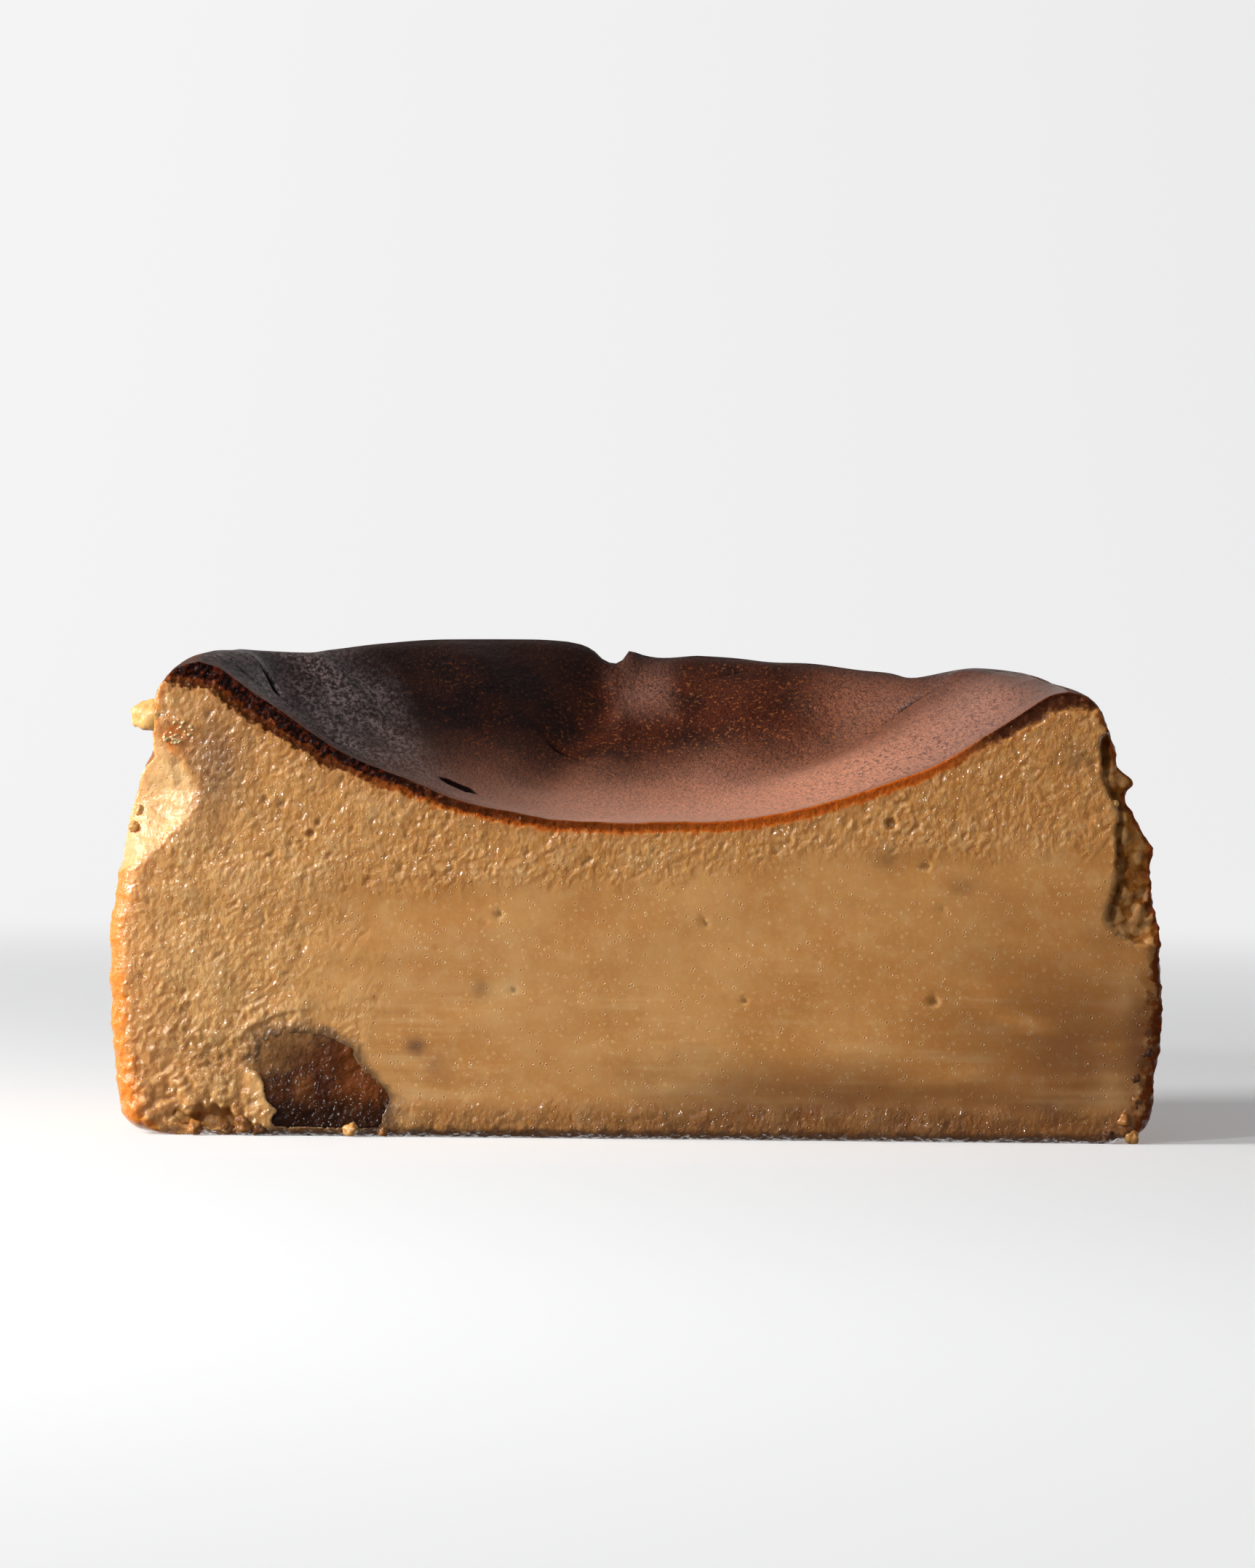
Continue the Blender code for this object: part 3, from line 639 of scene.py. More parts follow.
def shell_and_cut():
    """The whole visible surface of the cake, closed, with its points still unmoved by the cut."""
    patches = Patches()
    outline = Outline()
    n_top = int(2 * CREST_R / FACE_FINE)
    n_side = int(SIDE_LENGTH / FACE_FINE)
    n_under = int(2 * UNDER_R / (FACE_FINE * 1.5))
    across = np.linspace(-CREST_R, CREST_R, n_top + 1)
    down = np.linspace(0, 1, n_side + 1)
    under = np.linspace(-UNDER_R, UNDER_R, n_under + 1)
    arc_length = math.pi * ARC_RADIUS
    half = [at for at, _ in graded(arc_length / 2, SHELL_FINE, SIDE_COARSE)]
    arc = np.array([0.0, *half, *[arc_length - a for a in half[::-1]], arc_length])
    arc_angle = 180.0 * arc / arc_length

    top_line = patches.add(top_points(across, np.zeros_like(across)))
    left = patches.add(side_points(np.full(n_side, 180.0), down[1:]))
    right = patches.add(side_points(np.zeros(n_side), down[1:]))
    under_line = patches.add(under_points(under[1:-1], np.zeros(n_under - 1)))
    crest = patches.add(side_points(arc_angle[1:-1], np.zeros(len(arc) - 2)))
    foot = patches.add(side_points(arc_angle[1:-1], np.ones(len(arc) - 2)))
    left = np.concatenate([top_line[:1], left])  # from the crest down to the underside
    right = np.concatenate([top_line[-1:], right])
    under_line = np.concatenate([left[-1:], under_line, right[-1:]])
    crest = np.concatenate([right[:1], crest, left[:1]])  # from the right round to the left
    foot = np.concatenate([right[-1:], foot, left[-1:]])

    # The top and the underside, seen from above as half discs.
    for line, arc_numbers, radius, place, coarse, kind in (
        (top_line, crest, CREST_R, top_points, TOP_COARSE, TOP),
        (under_line, foot, UNDER_R, under_points, UNDER_COARSE, UNDER),
    ):
        inner_flat = half_disc(radius, SHELL_FINE, coarse)
        if kind == TOP:
            inner_flat = with_cracks(inner_flat)
        inner = patches.add(place(*inner_flat.T))
        straight = np.linspace(-radius, radius, len(line))
        line_flat = np.stack([straight, np.zeros_like(straight)], 1)
        turn = np.radians(arc_angle)
        arc_flat = radius * np.stack([np.cos(turn), np.sin(turn)], 1)
        loop = np.concatenate([line[:-1], arc_numbers[:-1]])
        loop_flat = np.concatenate([line_flat[:-1], arc_flat[:-1]])
        patches.fill(loop, loop_flat, inner, inner_flat, kind)

    # The side, unrolled.
    inner_flat = strip(arc_length, SIDE_LENGTH, SHELL_FINE, SIDE_COARSE)
    angle, share = 180.0 * inner_flat[:, 0] / arc_length, inner_flat[:, 1] / SIDE_LENGTH
    inner = patches.add(side_points(angle, share))
    drop = down * SIDE_LENGTH
    loop = np.concatenate([crest[:-1], left[:-1], foot[:0:-1], right[:0:-1]])
    loop_flat = np.concatenate([
        np.stack([arc[:-1], np.zeros(len(arc) - 1)], 1),
        np.stack([np.full(n_side, arc_length), drop[:-1]], 1),
        np.stack([arc[:0:-1], np.full(len(arc) - 1, SIDE_LENGTH)], 1),
        np.stack([np.zeros(n_side), drop[:0:-1]], 1),
    ])  # fmt: skip
    patches.fill(loop, loop_flat, inner, inner_flat, SKIN)

    # The cut, flat for now. Its points are close together where it is rough.
    points = np.concatenate(patches.points)
    loop = np.concatenate([top_line[:-1], right[:-1], under_line[:0:-1], left[:0:-1]])
    loop_flat = points[loop][:, [0, 2]]
    inner_flat = []
    for step, wants_rough in ((FACE_FINE, True), (FACE_COARSE, False)):
        grid = hexagons(*FACE_BOX, step)
        x, z = grid.T
        ends = outline.ends(z)
        margin = 0.55 * step
        keep = (x > ends[0] + margin) & (x < ends[1] - margin) & (z > margin)
        keep &= (z < outline.top_z(x) - margin) & (outline.below_top(x, z) > margin)
        grid = grid[keep]
        x, z = grid.T
        zone = masks(x, z, outline)
        rough = np.max([zone[k] for k in ("left", "band", "base", "torn", "facet")], axis=0)
        rough = np.maximum(rough, ramp(2.5, 1.5, zone["crust"]))
        inner_flat.append(grid[(rough > 0.25) == wants_rough])
    inner_flat = np.concatenate(inner_flat)
    flat_points = np.stack([inner_flat[:, 0], np.zeros(len(inner_flat)), inner_flat[:, 1]], 1)
    inner = patches.add(flat_points)
    patches.fill(loop, loop_flat, inner, inner_flat, CUT)
    return np.concatenate(patches.points), patches, outline


def add_object(name, data):
    made = bpy.data.objects.new(name, data)
    bpy.context.scene.collection.objects.link(made)
    return made


def to_mesh(name, points, triangles, kinds, materials):
    """A smooth mesh object of these points, whose triangles have materials by their kind."""
    mesh = bpy.data.meshes.new(name)
    metres = (points - np.array([0.0, HALF_DEPTH, 0.0])) * MM
    mesh.from_pydata(metres.tolist(), [], [list(map(int, t)) for t in triangles])
    for material in materials:
        mesh.materials.append(material)
    if kinds is not None:
        mesh.polygons.foreach_set("material_index", kinds)
    bm = bmesh.new()
    bm.from_mesh(mesh)
    bmesh.ops.recalc_face_normals(bm, faces=bm.faces)
    bm.to_mesh(mesh)
    bm.free()
    mesh.shade_smooth()
    return add_object(name, mesh)


def give(made, **values):
    """Keeps a number for each point, which the material reads by name."""
    for name, numbers in values.items():
        layer = made.data.attributes.new(name, "FLOAT", "POINT")
        layer.data.foreach_set("value", np.asarray(numbers, np.float32))


def stains(places, x, z):
    """How strongly the stains colour each place of the cut."""
    x, z = x + 0.9 * lumps(2.6, x, z, 44.0), z + 0.9 * lumps(2.6, x, z, 55.0)
    shares = [e * bell(np.hypot((x - a) / c, (z - b) / d), 0.8) for a, b, c, d, e in places]
    return np.max(shares, axis=0)


def make_cake(materials):
    points, patches, outline = shell_and_cut()
    x, y, z = points.T.copy()
    near = y < DEEP_FADE
    zone = masks(x[near], z[near], outline)
    deep, fine = set_back(x[near], z[near], zone, outline)
    moved = points.copy()
    moved[near, 1] += deep * ramp(DEEP_FADE, 0.0, y[near]) + fine * np.exp(-y[near] / FINE_FADE)
    cake = to_mesh("cake", moved, patches.triangles, patches.kinds, materials)
    widths = np.where(x[near] < 0, curve(SKIN_LEFT, z[near]), curve(SKIN_RIGHT, z[near]))
    zone["skin"] = zone["side"] / widths
    for name, places in STAINS.items():
        zone[name] = stains(places, x[near], z[near])
    names = ("left", "band", "base", "crust", "torn", "skin", "facet", "reach", *STAINS)
    kept = {}
    for name in names:
        kept[name] = np.zeros(len(points))
        kept[name][near] = zone[name]
    kept["relief"] = np.zeros(len(points))
    kept["relief"][near] = fine * np.exp(-y[near] / FINE_FADE)
    kept["burnt"] = curve(CRUST_BURNT, x)
    kept["crack"] = np.zeros(len(points))
    r = np.maximum(np.hypot(x, y), 1.0)
    shrink = 1.0 - wider(np.degrees(np.arctan2(y, x)), 1.0) * ramp(WIDER_FROM, 1.0, r / CREST_R) / r
    high = (z > CENTRE_Z - 8.0) & (r < CREST_R)
    kept["crack"][high] = cracks((x * shrink)[high], (y * shrink)[high])[1]
    give(cake, **kept)
    return cake


# ---- Materials ----


class Value:
    """A number that nodes work out at each place, for use in sums and products."""

    def __init__(self, graph, socket):
        self.graph, self.socket = graph, socket

    def __add__(self, other):
        return self.graph.math("ADD", self, other)

    def __sub__(self, number):
        return self.graph.math("ADD", self, -number)

    def __mul__(self, other):
        return self.graph.math("MULTIPLY", self, other)

    def __abs__(self):
        return self.graph.math("ABSOLUTE", self)

    __radd__, __rmul__ = __add__, __mul__


class Graph:
    """The nodes of a material or of the world, with short names for them."""

    def __init__(self, tree):
        self.nodes, self.links = tree.nodes, tree.links

    def add(self, kind, inputs=(), **settings):
        node = self.nodes.new(kind)
        for name, value in settings.items():
            setattr(node, name, value)
        for name, value in dict(inputs).items():
            self.put(node.inputs[name], value)
        return node

    def put(self, socket, value):
        value = getattr(value, "socket", value)
        if isinstance(value, bpy.types.NodeSocket):
            self.links.new(value, socket)
        elif isinstance(value, tuple) and len(value) == 3 and socket.type == "RGBA":
            socket.default_value = (*value, 1.0)
        else:
            socket.default_value = value

    def math(self, operation, *values):
        node = self.add("ShaderNodeMath", dict(enumerate(values)), operation=operation)
        return Value(self, node.outputs[0])

    def most(self, first, *others):
        """The largest of the values."""
        for other in others:
            first = self.math("MAXIMUM", first, other)
        return first

    def ease(self, value, low, high, out_low=0.0, out_high=1.0):
        """out_low up to low, out_high from high and smooth between them."""
        inputs = {"Value": value, "From Min": low, "From Max": high}
        inputs |= {"To Min": out_low, "To Max": out_high}
        node = self.add("ShaderNodeMapRange", inputs, interpolation_type="SMOOTHSTEP")
        return Value(self, node.outputs[0])

    def between(self, share, at_none, at_all):
        """at_none where the share is 0, at_all where it is 1 and smooth between them."""
        return self.ease(share, 0.0, 1.0, at_none, at_all)


class Finish(Graph):
    """A node material, whose colour is painted on in layers."""

    def __init__(self, name):
        self.material = bpy.data.materials.new(name)
        self.material.use_nodes = True
        super().__init__(self.material.node_tree)
        self.shader = self.nodes["Principled BSDF"]
        self.coordinates = self.add("ShaderNodeTexCoord").outputs["Object"]

    def set(self, **values):
        for name, value in values.items():
            self.put(self.shader.inputs[name.replace("_", " ")], value)

    def number(self, name):
        """The number that give() kept for each point of the mesh."""
        return Value(self, self.add("ShaderNodeAttribute", attribute_name=name).outputs["Fac"])

    def mix(self, share, a, b):
        inputs = {"Factor": share, 6: a, 7: b}
        return self.add("ShaderNodeMix", data_type="RGBA", inputs=inputs).outputs[2]

    def paint(self, share, tint):
        """Lays the tint over the colour so far, as strongly as the share says."""
        self.colour = self.mix(share, self.colour, tint)

    def place(self, stretch=(1.0, 1.0, 1.0), shift=(0.0, 0.0, 0.0)):
        """Object coordinates in millimetres, stretched along each axis."""
        scale = tuple(1.0 / (MM * s) for s in stretch)
        inputs = {"Vector": self.coordinates, "Scale": scale, "Location": shift}
        return self.add("ShaderNodeMapping", inputs).outputs[0]

    def grain(self, size, detail=2.0, stretch=(1.0, 1.0, 1.0), shift=(0.0, 0.0, 0.0), rough=0.5):
        """Noise from 0 to 1, with bumps about `size` millimetres wide."""
        place = self.place(tuple(size * s for s in stretch), shift)
        inputs = {"Vector": place, "Scale": 1.0, "Detail": detail, "Roughness": rough}
        return Value(self, self.add("ShaderNodeTexNoise", inputs).outputs["Fac"])

    def uneven(self, *places, **options):
        """The same noise, from -0.5 to 0.5."""
        return self.grain(*places, **options) - 0.5

    def cells(self, size):
        """The distance to the nearest of many scattered points, about `size` apart."""
        inputs = {"Vector": self.place((size, size, size)), "Scale": 1.0}
        return Value(self, self.add("ShaderNodeTexVoronoi", inputs).outputs["Distance"])

    def axis(self, name):
        """The place along X, Y or Z in millimetres."""
        split = self.add("ShaderNodeSeparateXYZ", {"Vector": self.place()})
        return Value(self, split.outputs[name])

    def length(self, vector):
        node = self.add("ShaderNodeVectorMath", {0: vector}, operation="LENGTH")
        return Value(self, node.outputs["Value"])

    def outward(self):
        """The distance from the middle of the round cake, in millimetres."""
        at = {"X": self.axis("X"), "Y": self.axis("Y") + HALF_DEPTH}
        return self.length(self.add("ShaderNodeCombineXYZ", at).outputs[0])

    def bump(self, height, distance, socket="Normal"):
        inputs = {"Height": height, "Distance": distance * MM, "Strength": 1.0}
        self.put(self.shader.inputs[socket], self.add("ShaderNodeBump", inputs).outputs[0])


# The tints, each as its red, green and blue.
CREAM_LIGHT, CREAM_DARK = (0.78, 0.415, 0.136), (0.70, 0.330, 0.090)
CREAM_PALE, CREAM_DEEP = (0.86, 0.56, 0.25), (0.50, 0.21, 0.050)
CREAM_LEFT, CREAM_RIGHT = (0.80, 0.432, 0.140), (0.66, 0.280, 0.058)
CREAM_BAND, CREAM_DARKER_LOW = (0.66, 0.300, 0.068), (0.25, 0.082, 0.015)
CREAM_HOLLOW_SHADE, CREAM_TORN = (0.34, 0.145, 0.034), (0.33, 0.105, 0.010)
CREAM_BASE, CREAM_FOOT = (0.30, 0.115, 0.026), (0.130, 0.046, 0.015)
CREAM_PAINTED_GLOW, CREAM_FACET_LIT = (0.84, 0.41, 0.135), (0.86, 0.60, 0.30)
CREAM_OVER_NUT = (0.17, 0.080, 0.034)
CREAM_MAUVE, CREAM_BROWN, CREAM_ORANGE = (0.20, 0.085, 0.05), (0.16, 0.052, 0.012), (0.70, 0.20, 0.03)
SKIN_ORANGE, SKIN_BROWN = (0.82, 0.27, 0.034), (0.24, 0.052, 0.008)
SKIN_DARK, UNDER_TAN = (0.045, 0.014, 0.006), (0.45, 0.19, 0.055)
SIDE_GOLD, SIDE_AMBER = (0.72, 0.285, 0.062), (0.50, 0.165, 0.032)
SIDE_UMBER, SIDE_BURNT = (0.200, 0.058, 0.015), (0.030, 0.010, 0.006)
RIM_DARK, RIM_RIGHT, RIM_LEFT_SHEEN = (0.028, 0.010, 0.006), (0.230, 0.098, 0.064), (0.110, 0.078, 0.073)
CRUST_BLACK, CRUST_RED = (0.009, 0.002, 0.0012), (0.098, 0.014, 0.004)
CRUST_ORANGE, CRUST_STAIN = (0.66, 0.145, 0.009), (0.50, 0.20, 0.045)
CRUST_FOOT, CRUST_FLECK = (0.26, 0.095, 0.026), (0.28, 0.055, 0.009)
CRUST_RIGHT_DARK, CRUST_RIGHT_LIGHT = (0.056, 0.014, 0.006), (0.185, 0.050, 0.016)
TOP_BROWN_DARK, TOP_BROWN_LIGHT = (0.028, 0.0055, 0.0018), (0.078, 0.014, 0.0036)
TOP_BLACK_DARK, TOP_BLACK_LIGHT = (0.008, 0.0030, 0.0030), (0.024, 0.0065, 0.0042)
# The three grey tints are painted sheen on the burnt top.
SHEEN_GREY_DARK, SHEEN_GREY_LIGHT, SHEEN_GREY_PALEST = (0.058, 0.038, 0.036), (0.480, 0.365, 0.350), (0.66, 0.50, 0.48)
TOP_NOTCH_SHEEN, TOP_FRONT = (0.34, 0.155, 0.110), (0.26, 0.080, 0.034)
TOP_FLOOR_AND_SHEEN, TOP_LOBE = (0.84, 0.335, 0.190), (0.44, 0.195, 0.128)
TOP_GRIT, TOP_FLECK = (0.02, 0.006, 0.004), (0.42, 0.13, 0.035)
TOP_WRINKLE, TOP_CRACK_SHADE = (0.16, 0.060, 0.040), (0.008, 0.003, 0.002)
NUT_DARK, NUT_LIGHT = (0.060, 0.013, 0.003), (0.118, 0.031, 0.006)
NUT_RIGHT, NUT_LOW = (0.250, 0.064, 0.009), (0.022, 0.0045, 0.0008)
NUT_SPOT, NUT_FILM = (0.24, 0.075, 0.014), (0.32, 0.150, 0.050)
CRUMB_WHITE, CRUMB_CREAM, CRUMB_BURNT = (0.95, 0.68, 0.34), (0.92, 0.52, 0.17), (0.075, 0.024, 0.009)


def custard():
    """The cut: cream, wet and curdled in places, with the crust along its top and its sides."""
    f = Finish("custard")
    x, z = f.axis("X"), f.axis("Z")
    crust, burnt, skin, relief = (f.number(n) for n in ("crust", "burnt", "skin", "relief"))
    left, band, base, torn, facet = (f.number(n) for n in ("left", "band", "base", "torn", "facet"))
    rough = f.most(left, band, base, torn)
    # Cream, cloudy in the large and mottled in the small.
    f.colour = f.mix(f.ease(f.grain(14.0, 3.0), 0.36, 0.64), CREAM_DARK, CREAM_LIGHT)
    f.paint(0.5 * left, CREAM_LEFT)
    f.paint(f.ease(x, -5.0, 60.0, 0.0, 0.55), CREAM_RIGHT)
    f.paint(0.5 * (band * f.ease(x, -62.0, -40.0)), CREAM_BAND)
    mottle = f.grain(2.4, 3.0)
    f.paint(0.32 * f.ease(mottle, 0.48, 0.75), CREAM_PALE)
    f.paint(0.2 * f.ease(mottle, 0.48, 0.25), CREAM_DEEP)
    streaks = f.grain(1.5, 3.0, (14.0, 1.0, 1.0), (0.0, 0.0, 5.0))
    dragged = f.ease(z, 26.0, 18.0) * f.ease(rough, 0.9, 0.1) * f.ease(f.grain(11.0, 2.0), 0.4, 0.6)
    f.paint(0.42 * (f.ease(streaks, 0.5, 0.66) * dragged), CREAM_PALE)
    f.paint(0.25 * (f.ease(streaks, 0.48, 0.34) * dragged), CREAM_DEEP)
    granule = f.grain(0.85, 2.0, (1.0, 1.0, 1.2), (4.0, 0.0, 2.0))
    grainy = f.between(rough, 0.06, 0.20)
    f.paint(f.ease(granule, 0.51, 0.64) * grainy, CREAM_PALE)
    f.paint(f.ease(granule, 0.48, 0.34) * grainy, CREAM_DEEP)
    # Pinprick bubbles where it is smooth, with painted highlight on their rims and painted shade in their
    # holes.
    bubble = f.cells(1.15)
    rim = f.ease(abs(bubble - 0.21), 0.09, 0.0)
    hole = f.ease(bubble, 0.15, 0.06)
    smoothly = f.ease(rough, 0.5, 0.0)
    f.paint(0.5 * (rim * smoothly), CREAM_PALE)
    f.paint(0.4 * (hole * smoothly), CREAM_DEEP)
    fine = f.ease(f.grain(0.45, 2.0, shift=(0.0, 3.0, 6.0)), 0.54, 0.70)
    f.paint(0.25 * (fine * smoothly), CREAM_PALE)
    # Stains, some of them painted shade, and the lower middle and the lower right painted darker, the lower
    # right as shade where the lamp's light falls off.
    low = f.ease(z, 15.0, 5.0) * f.ease(x, -14.0, 24.0)
    corner = f.ease(x, 30.0, 64.0) * f.ease(z, 46.0, 8.0)
    darker_low = f.most(low, corner) * f.ease(f.grain(9.0, 2.0, (2.0, 1.0, 0.6)), 0.2, 0.55)
    f.paint(0.78 * darker_low, CREAM_DARKER_LOW)
    for name, tint in zip(STAINS, (CREAM_MAUVE, CREAM_BROWN, CREAM_ORANGE, CREAM_PALE)):
        f.paint(f.number(name), tint)
    # Crumbly and browned along the underside.
    f.paint(base * f.ease(x, -60.0, 40.0, 0.35, 0.75), CREAM_BASE)
    f.paint(torn * f.ease(f.grain(1.3, 3.0), 0.4, 0.62, 0.95, 0.6), CREAM_TORN)
    foot = z + -4.0 * f.grain(1.6, 3.0)
    dark_foot = f.ease(foot, -0.2, -1.4) * f.ease(x, -68.0, -58.0)
    f.paint(dark_foot * f.ease(x, -40.0, 20.0, 0.85, 0.6), CREAM_FOOT)
    # Painted shade in the hollows of the relief, and painted highlight on the tops of the lumps.
    hollow = f.ease(relief, 0.05, 0.36) * (0.35 + 0.37 * torn)
    f.paint(hollow, CREAM_HOLLOW_SHADE)
    proud = f.ease(relief, -0.02, -0.2) * f.between(base, 0.35, 0.12)
    f.paint(proud, CREAM_PALE)
    # The chestnut shines through where the custard over it is thin.
    near = f.number("reach") + 0.4 * f.uneven(1.8, 3.0)
    near = f.ease(near, 1.32, 0.98) * f.ease(f.number("reach"), 0.2, 0.5)
    bare = f.most(f.ease(x, -52.5, -49.5), f.ease(z, 8.5, 11.0))
    f.paint(0.85 * (near * bare), CREAM_OVER_NUT)
    # The skin of the side shows at both ends of the cut.
    edge = skin + f.uneven(1.5, 4.0, rough=0.65) * f.ease(x, 0.0, 50.0, 2.2, 3.4)
    tint = f.mix(f.ease(x, -40.0, 40.0), SKIN_ORANGE, SKIN_BROWN)
    # Painted light: a peach glow at the left end, where the lamp's light would shine through the edge.
    glow = f.ease(skin, 4.5, 0.8) * f.ease(x, 0.0, -60.0)
    f.paint(0.7 * glow, CREAM_PAINTED_GLOW)
    f.paint(f.ease(edge, 1.15, 0.35), tint)
    # Painted light: the torn facet at the left is painted paler where the lamp catches it.
    f.paint(0.55 * f.ease(facet, 0.0, 1.5), CREAM_FACET_LIT)
    # The crust: stained cream, then orange, then burnt, with a dark line at its foot.
    level = crust + 1.2 * f.uneven(0.9, 4.0, rough=0.65)
    f.paint(0.4 * f.ease(level, 2.6, 1.0), CRUST_STAIN)
    foot_tint = f.mix(f.ease(x, 40.0, 54.0), CRUST_ORANGE, CRUST_FOOT)
    f.paint(f.ease(level, 1.25, 0.9), foot_tint)
    crumbs = f.mix(f.ease(f.grain(0.7, 3.0, rough=0.6), 0.46, 0.64), CRUST_BLACK, CRUST_RED)
    flecks = f.ease(f.grain(0.7, 2.0, shift=(2.0, 0.0, 7.0)), 0.68, 0.76)
    crumbs = f.mix(flecks, crumbs, CRUST_FLECK)
    share = f.ease(level, 1.12, 0.55) * f.ease(burnt, 0.0, 0.7, 0.3, 1.0)
    at_right = f.mix(f.grain(0.9, 3.0), CRUST_RIGHT_DARK, CRUST_RIGHT_LIGHT)
    f.paint(share, f.mix(f.ease(x, 30.0, 50.0), crumbs, at_right))
    line = f.ease(abs(level - 0.98), 0.26, 0.06) * f.ease(x, -26.0, -46.0)
    f.paint(0.85 * line, SKIN_DARK)
    f.set(Base_Color=f.colour, Subsurface_Weight=0.8, Subsurface_Scale=0.0013, IOR=1.42)
    f.set(Subsurface_Radius=(1.0, 0.84, 0.70))
    in_crust = f.ease(level, 1.4, 1.0)
    f.set(Roughness=f.most(f.between(rough, 0.42, 0.28), 0.55 * in_crust))
    dry = f.most(in_crust, f.ease(edge, 1.1, 0.4) * f.ease(x, 0.0, 20.0))
    dry = f.most(dry, 0.9 * torn)
    f.set(Specular_IOR_Level=f.between(dry, 0.5, 0.08))
    # Small lumps where it is rough and pinpricks where it is smooth.
    pinpricks = hole + -0.35 * rim
    smooth = 0.06 * f.grain(0.4, 2.0) + -0.45 * pinpricks
    lean = (1.0, 1.0, 1.3)
    coarse = f.grain(0.62, 2.5, lean, (3.0, 0.0, 8.0))
    f.bump(smooth + coarse * rough, 0.22)
    # A wet film catches the light in small glints.
    film = 0.25 * coarse + f.grain(0.95, 1.0, lean, (9.0, 0.0, 3.0))
    film = film * f.ease(rough, 0.0, 0.7, 0.1, 1.0) + -0.14 * pinpricks
    f.bump(film, 0.62, "Coat Normal")
    wet = f.ease(rough, 0.0, 0.8, 0.35, 1.0) * f.between(in_crust, 1.0, 0.12)
    wet = wet * f.ease(f.grain(1.9, 2.0, shift=(5.0, 2.0, 0.0)), 0.36, 0.54, 0.35, 1.0)
    matt = f.most(torn, f.ease(facet, 0.0, 1.0), f.ease(edge, 1.0, 0.5))
    wet = wet * f.between(matt, 1.0, 0.12)
    f.set(Coat_Weight=wet, Coat_Roughness=0.09, Coat_IOR=1.5)
    return f.material


def burnt_top():
    """The top: black at the left with painted grey sheen, red-brown at the back, lighter in the middle and
    at the right, partly with painted sheen.
    """
    f = Finish("burnt_top")
    x, y = f.axis("X"), f.axis("Y") + HALF_DEPTH
    cloud = 30.0 * f.uneven(15.0, 4.0)
    blotch = f.grain(6.0, 4.0)
    across = x + -0.757 * y + 51.9
    redder = f.ease(across + 0.4 * cloud, -4.0, 13.0)
    brown = f.mix(f.ease(blotch, 0.30, 0.62), TOP_BROWN_DARK, TOP_BROWN_LIGHT)
    black = f.mix(f.ease(blotch, 0.40, 0.62), TOP_BLACK_DARK, TOP_BLACK_LIGHT)
    f.colour = f.mix(redder, black, brown)
    # Grey painted sheen along the inner slope at the left, the bright back's reflection at a grazing angle,
    # and pinkish painted sheen beside the notch.
    slope = x + 0.536 * y + 0.25 * cloud
    painted_sheen_zone = f.ease(slope, -80.0, -66.0) * f.ease(slope, -12.0, -24.0)
    dashes = f.grain(0.55, 3.0, (1.1, 3.2, 1.0), rough=0.7)
    painted_sheen = f.mix(f.ease(dashes, 0.42, 0.58), SHEEN_GREY_DARK, SHEEN_GREY_LIGHT)
    palest = f.ease(dashes, 0.48, 0.62) * f.ease(x, -44.0, -56.0, 0.0, 0.7)
    painted_sheen = f.mix(palest, painted_sheen, SHEEN_GREY_PALEST)
    f.paint(painted_sheen_zone * f.ease(blotch, 0.3, 0.6, 0.45, 0.95), painted_sheen)
    # Painted sheen: a pinkish grazing reflection on the flank right of the notch.
    beside = f.most(abs(x - 1.0), 0.6 * abs(y - 55.0))
    f.paint(f.ease(beside, 6.0, 1.5, 0.0, 0.5), TOP_NOTCH_SHEEN)
    # Paler in the front of the floor and on the right lobe: partly less burnt, partly painted sheen of the
    # bright back caught at a grazing angle.
    narrower = f.ease(x, -28.0, 14.0, 0.0, -6.5) + f.ease(x, 26.0, 50.0, 0.0, 5.0)
    floor = f.ease(y + narrower + 0.3 * cloud, 38.0, 12.0)
    along = f.ease(x + 0.3 * cloud, -46.0, -4.0)
    lobe = f.ease(x + 0.2 * cloud, 20.0, 34.0, 0.0, 0.28)
    lighter = f.most(floor * along, lobe)
    floor_tint_and_sheen = f.mix(f.ease(x, 28.0, 50.0), TOP_FLOOR_AND_SHEEN, TOP_LOBE)
    f.paint(0.95 * lighter, floor_tint_and_sheen)
    grit = f.grain(0.50, 4.0, rough=0.75)
    f.paint(f.ease(grit, 0.53, 0.38) * f.between(lighter, 0.7, 0.5), TOP_GRIT)
    flecks = f.ease(f.grain(0.55, 2.0, shift=(3.0, 1.0, 0.0)), 0.57, 0.68)
    f.paint(0.5 * (flecks * f.between(redder, 0.35, 1.0)), TOP_FLECK)
    wrinkles = f.ease(dashes, 0.5, 0.64) * (lighter * f.ease(x, 20.0, 40.0, 0.4, 1.0))
    f.paint(wrinkles, TOP_WRINKLE)
    f.paint(0.7 * f.ease(y, 5.0, 0.2), TOP_FRONT)
    f.paint(0.75 * f.ease(f.outward() + 0.2 * cloud, 52.0, 63.0), SIDE_BURNT)
    # The cracks are painted black as the shade inside them, and dulled.
    crack = f.ease(f.number("crack"), 0.30, 0.90)
    f.paint(crack, TOP_CRACK_SHADE)
    dull = f.ease(crack, 0.3, 1.0, 1.0, 0.1)
    shine = dull * (0.24 + 0.12 * painted_sheen_zone + 0.55 * lighter)
    f.set(Base_Color=f.colour, Roughness=0.38, IOR=1.42, Specular_IOR_Level=shine)
    f.set(Sheen_Weight=dull * f.ease(lighter, 0.2, 1.0, 0.02, 0.2))
    f.set(Sheen_Roughness=0.35, Sheen_Tint=(1.0, 0.80, 0.70, 1.0))
    fine = 0.5 * f.grain(0.34, 2.0) + (1.0 * f.grain(1.2, 4.0) + 0.9 * dashes)
    f.bump(fine, 0.26)
    return f.material


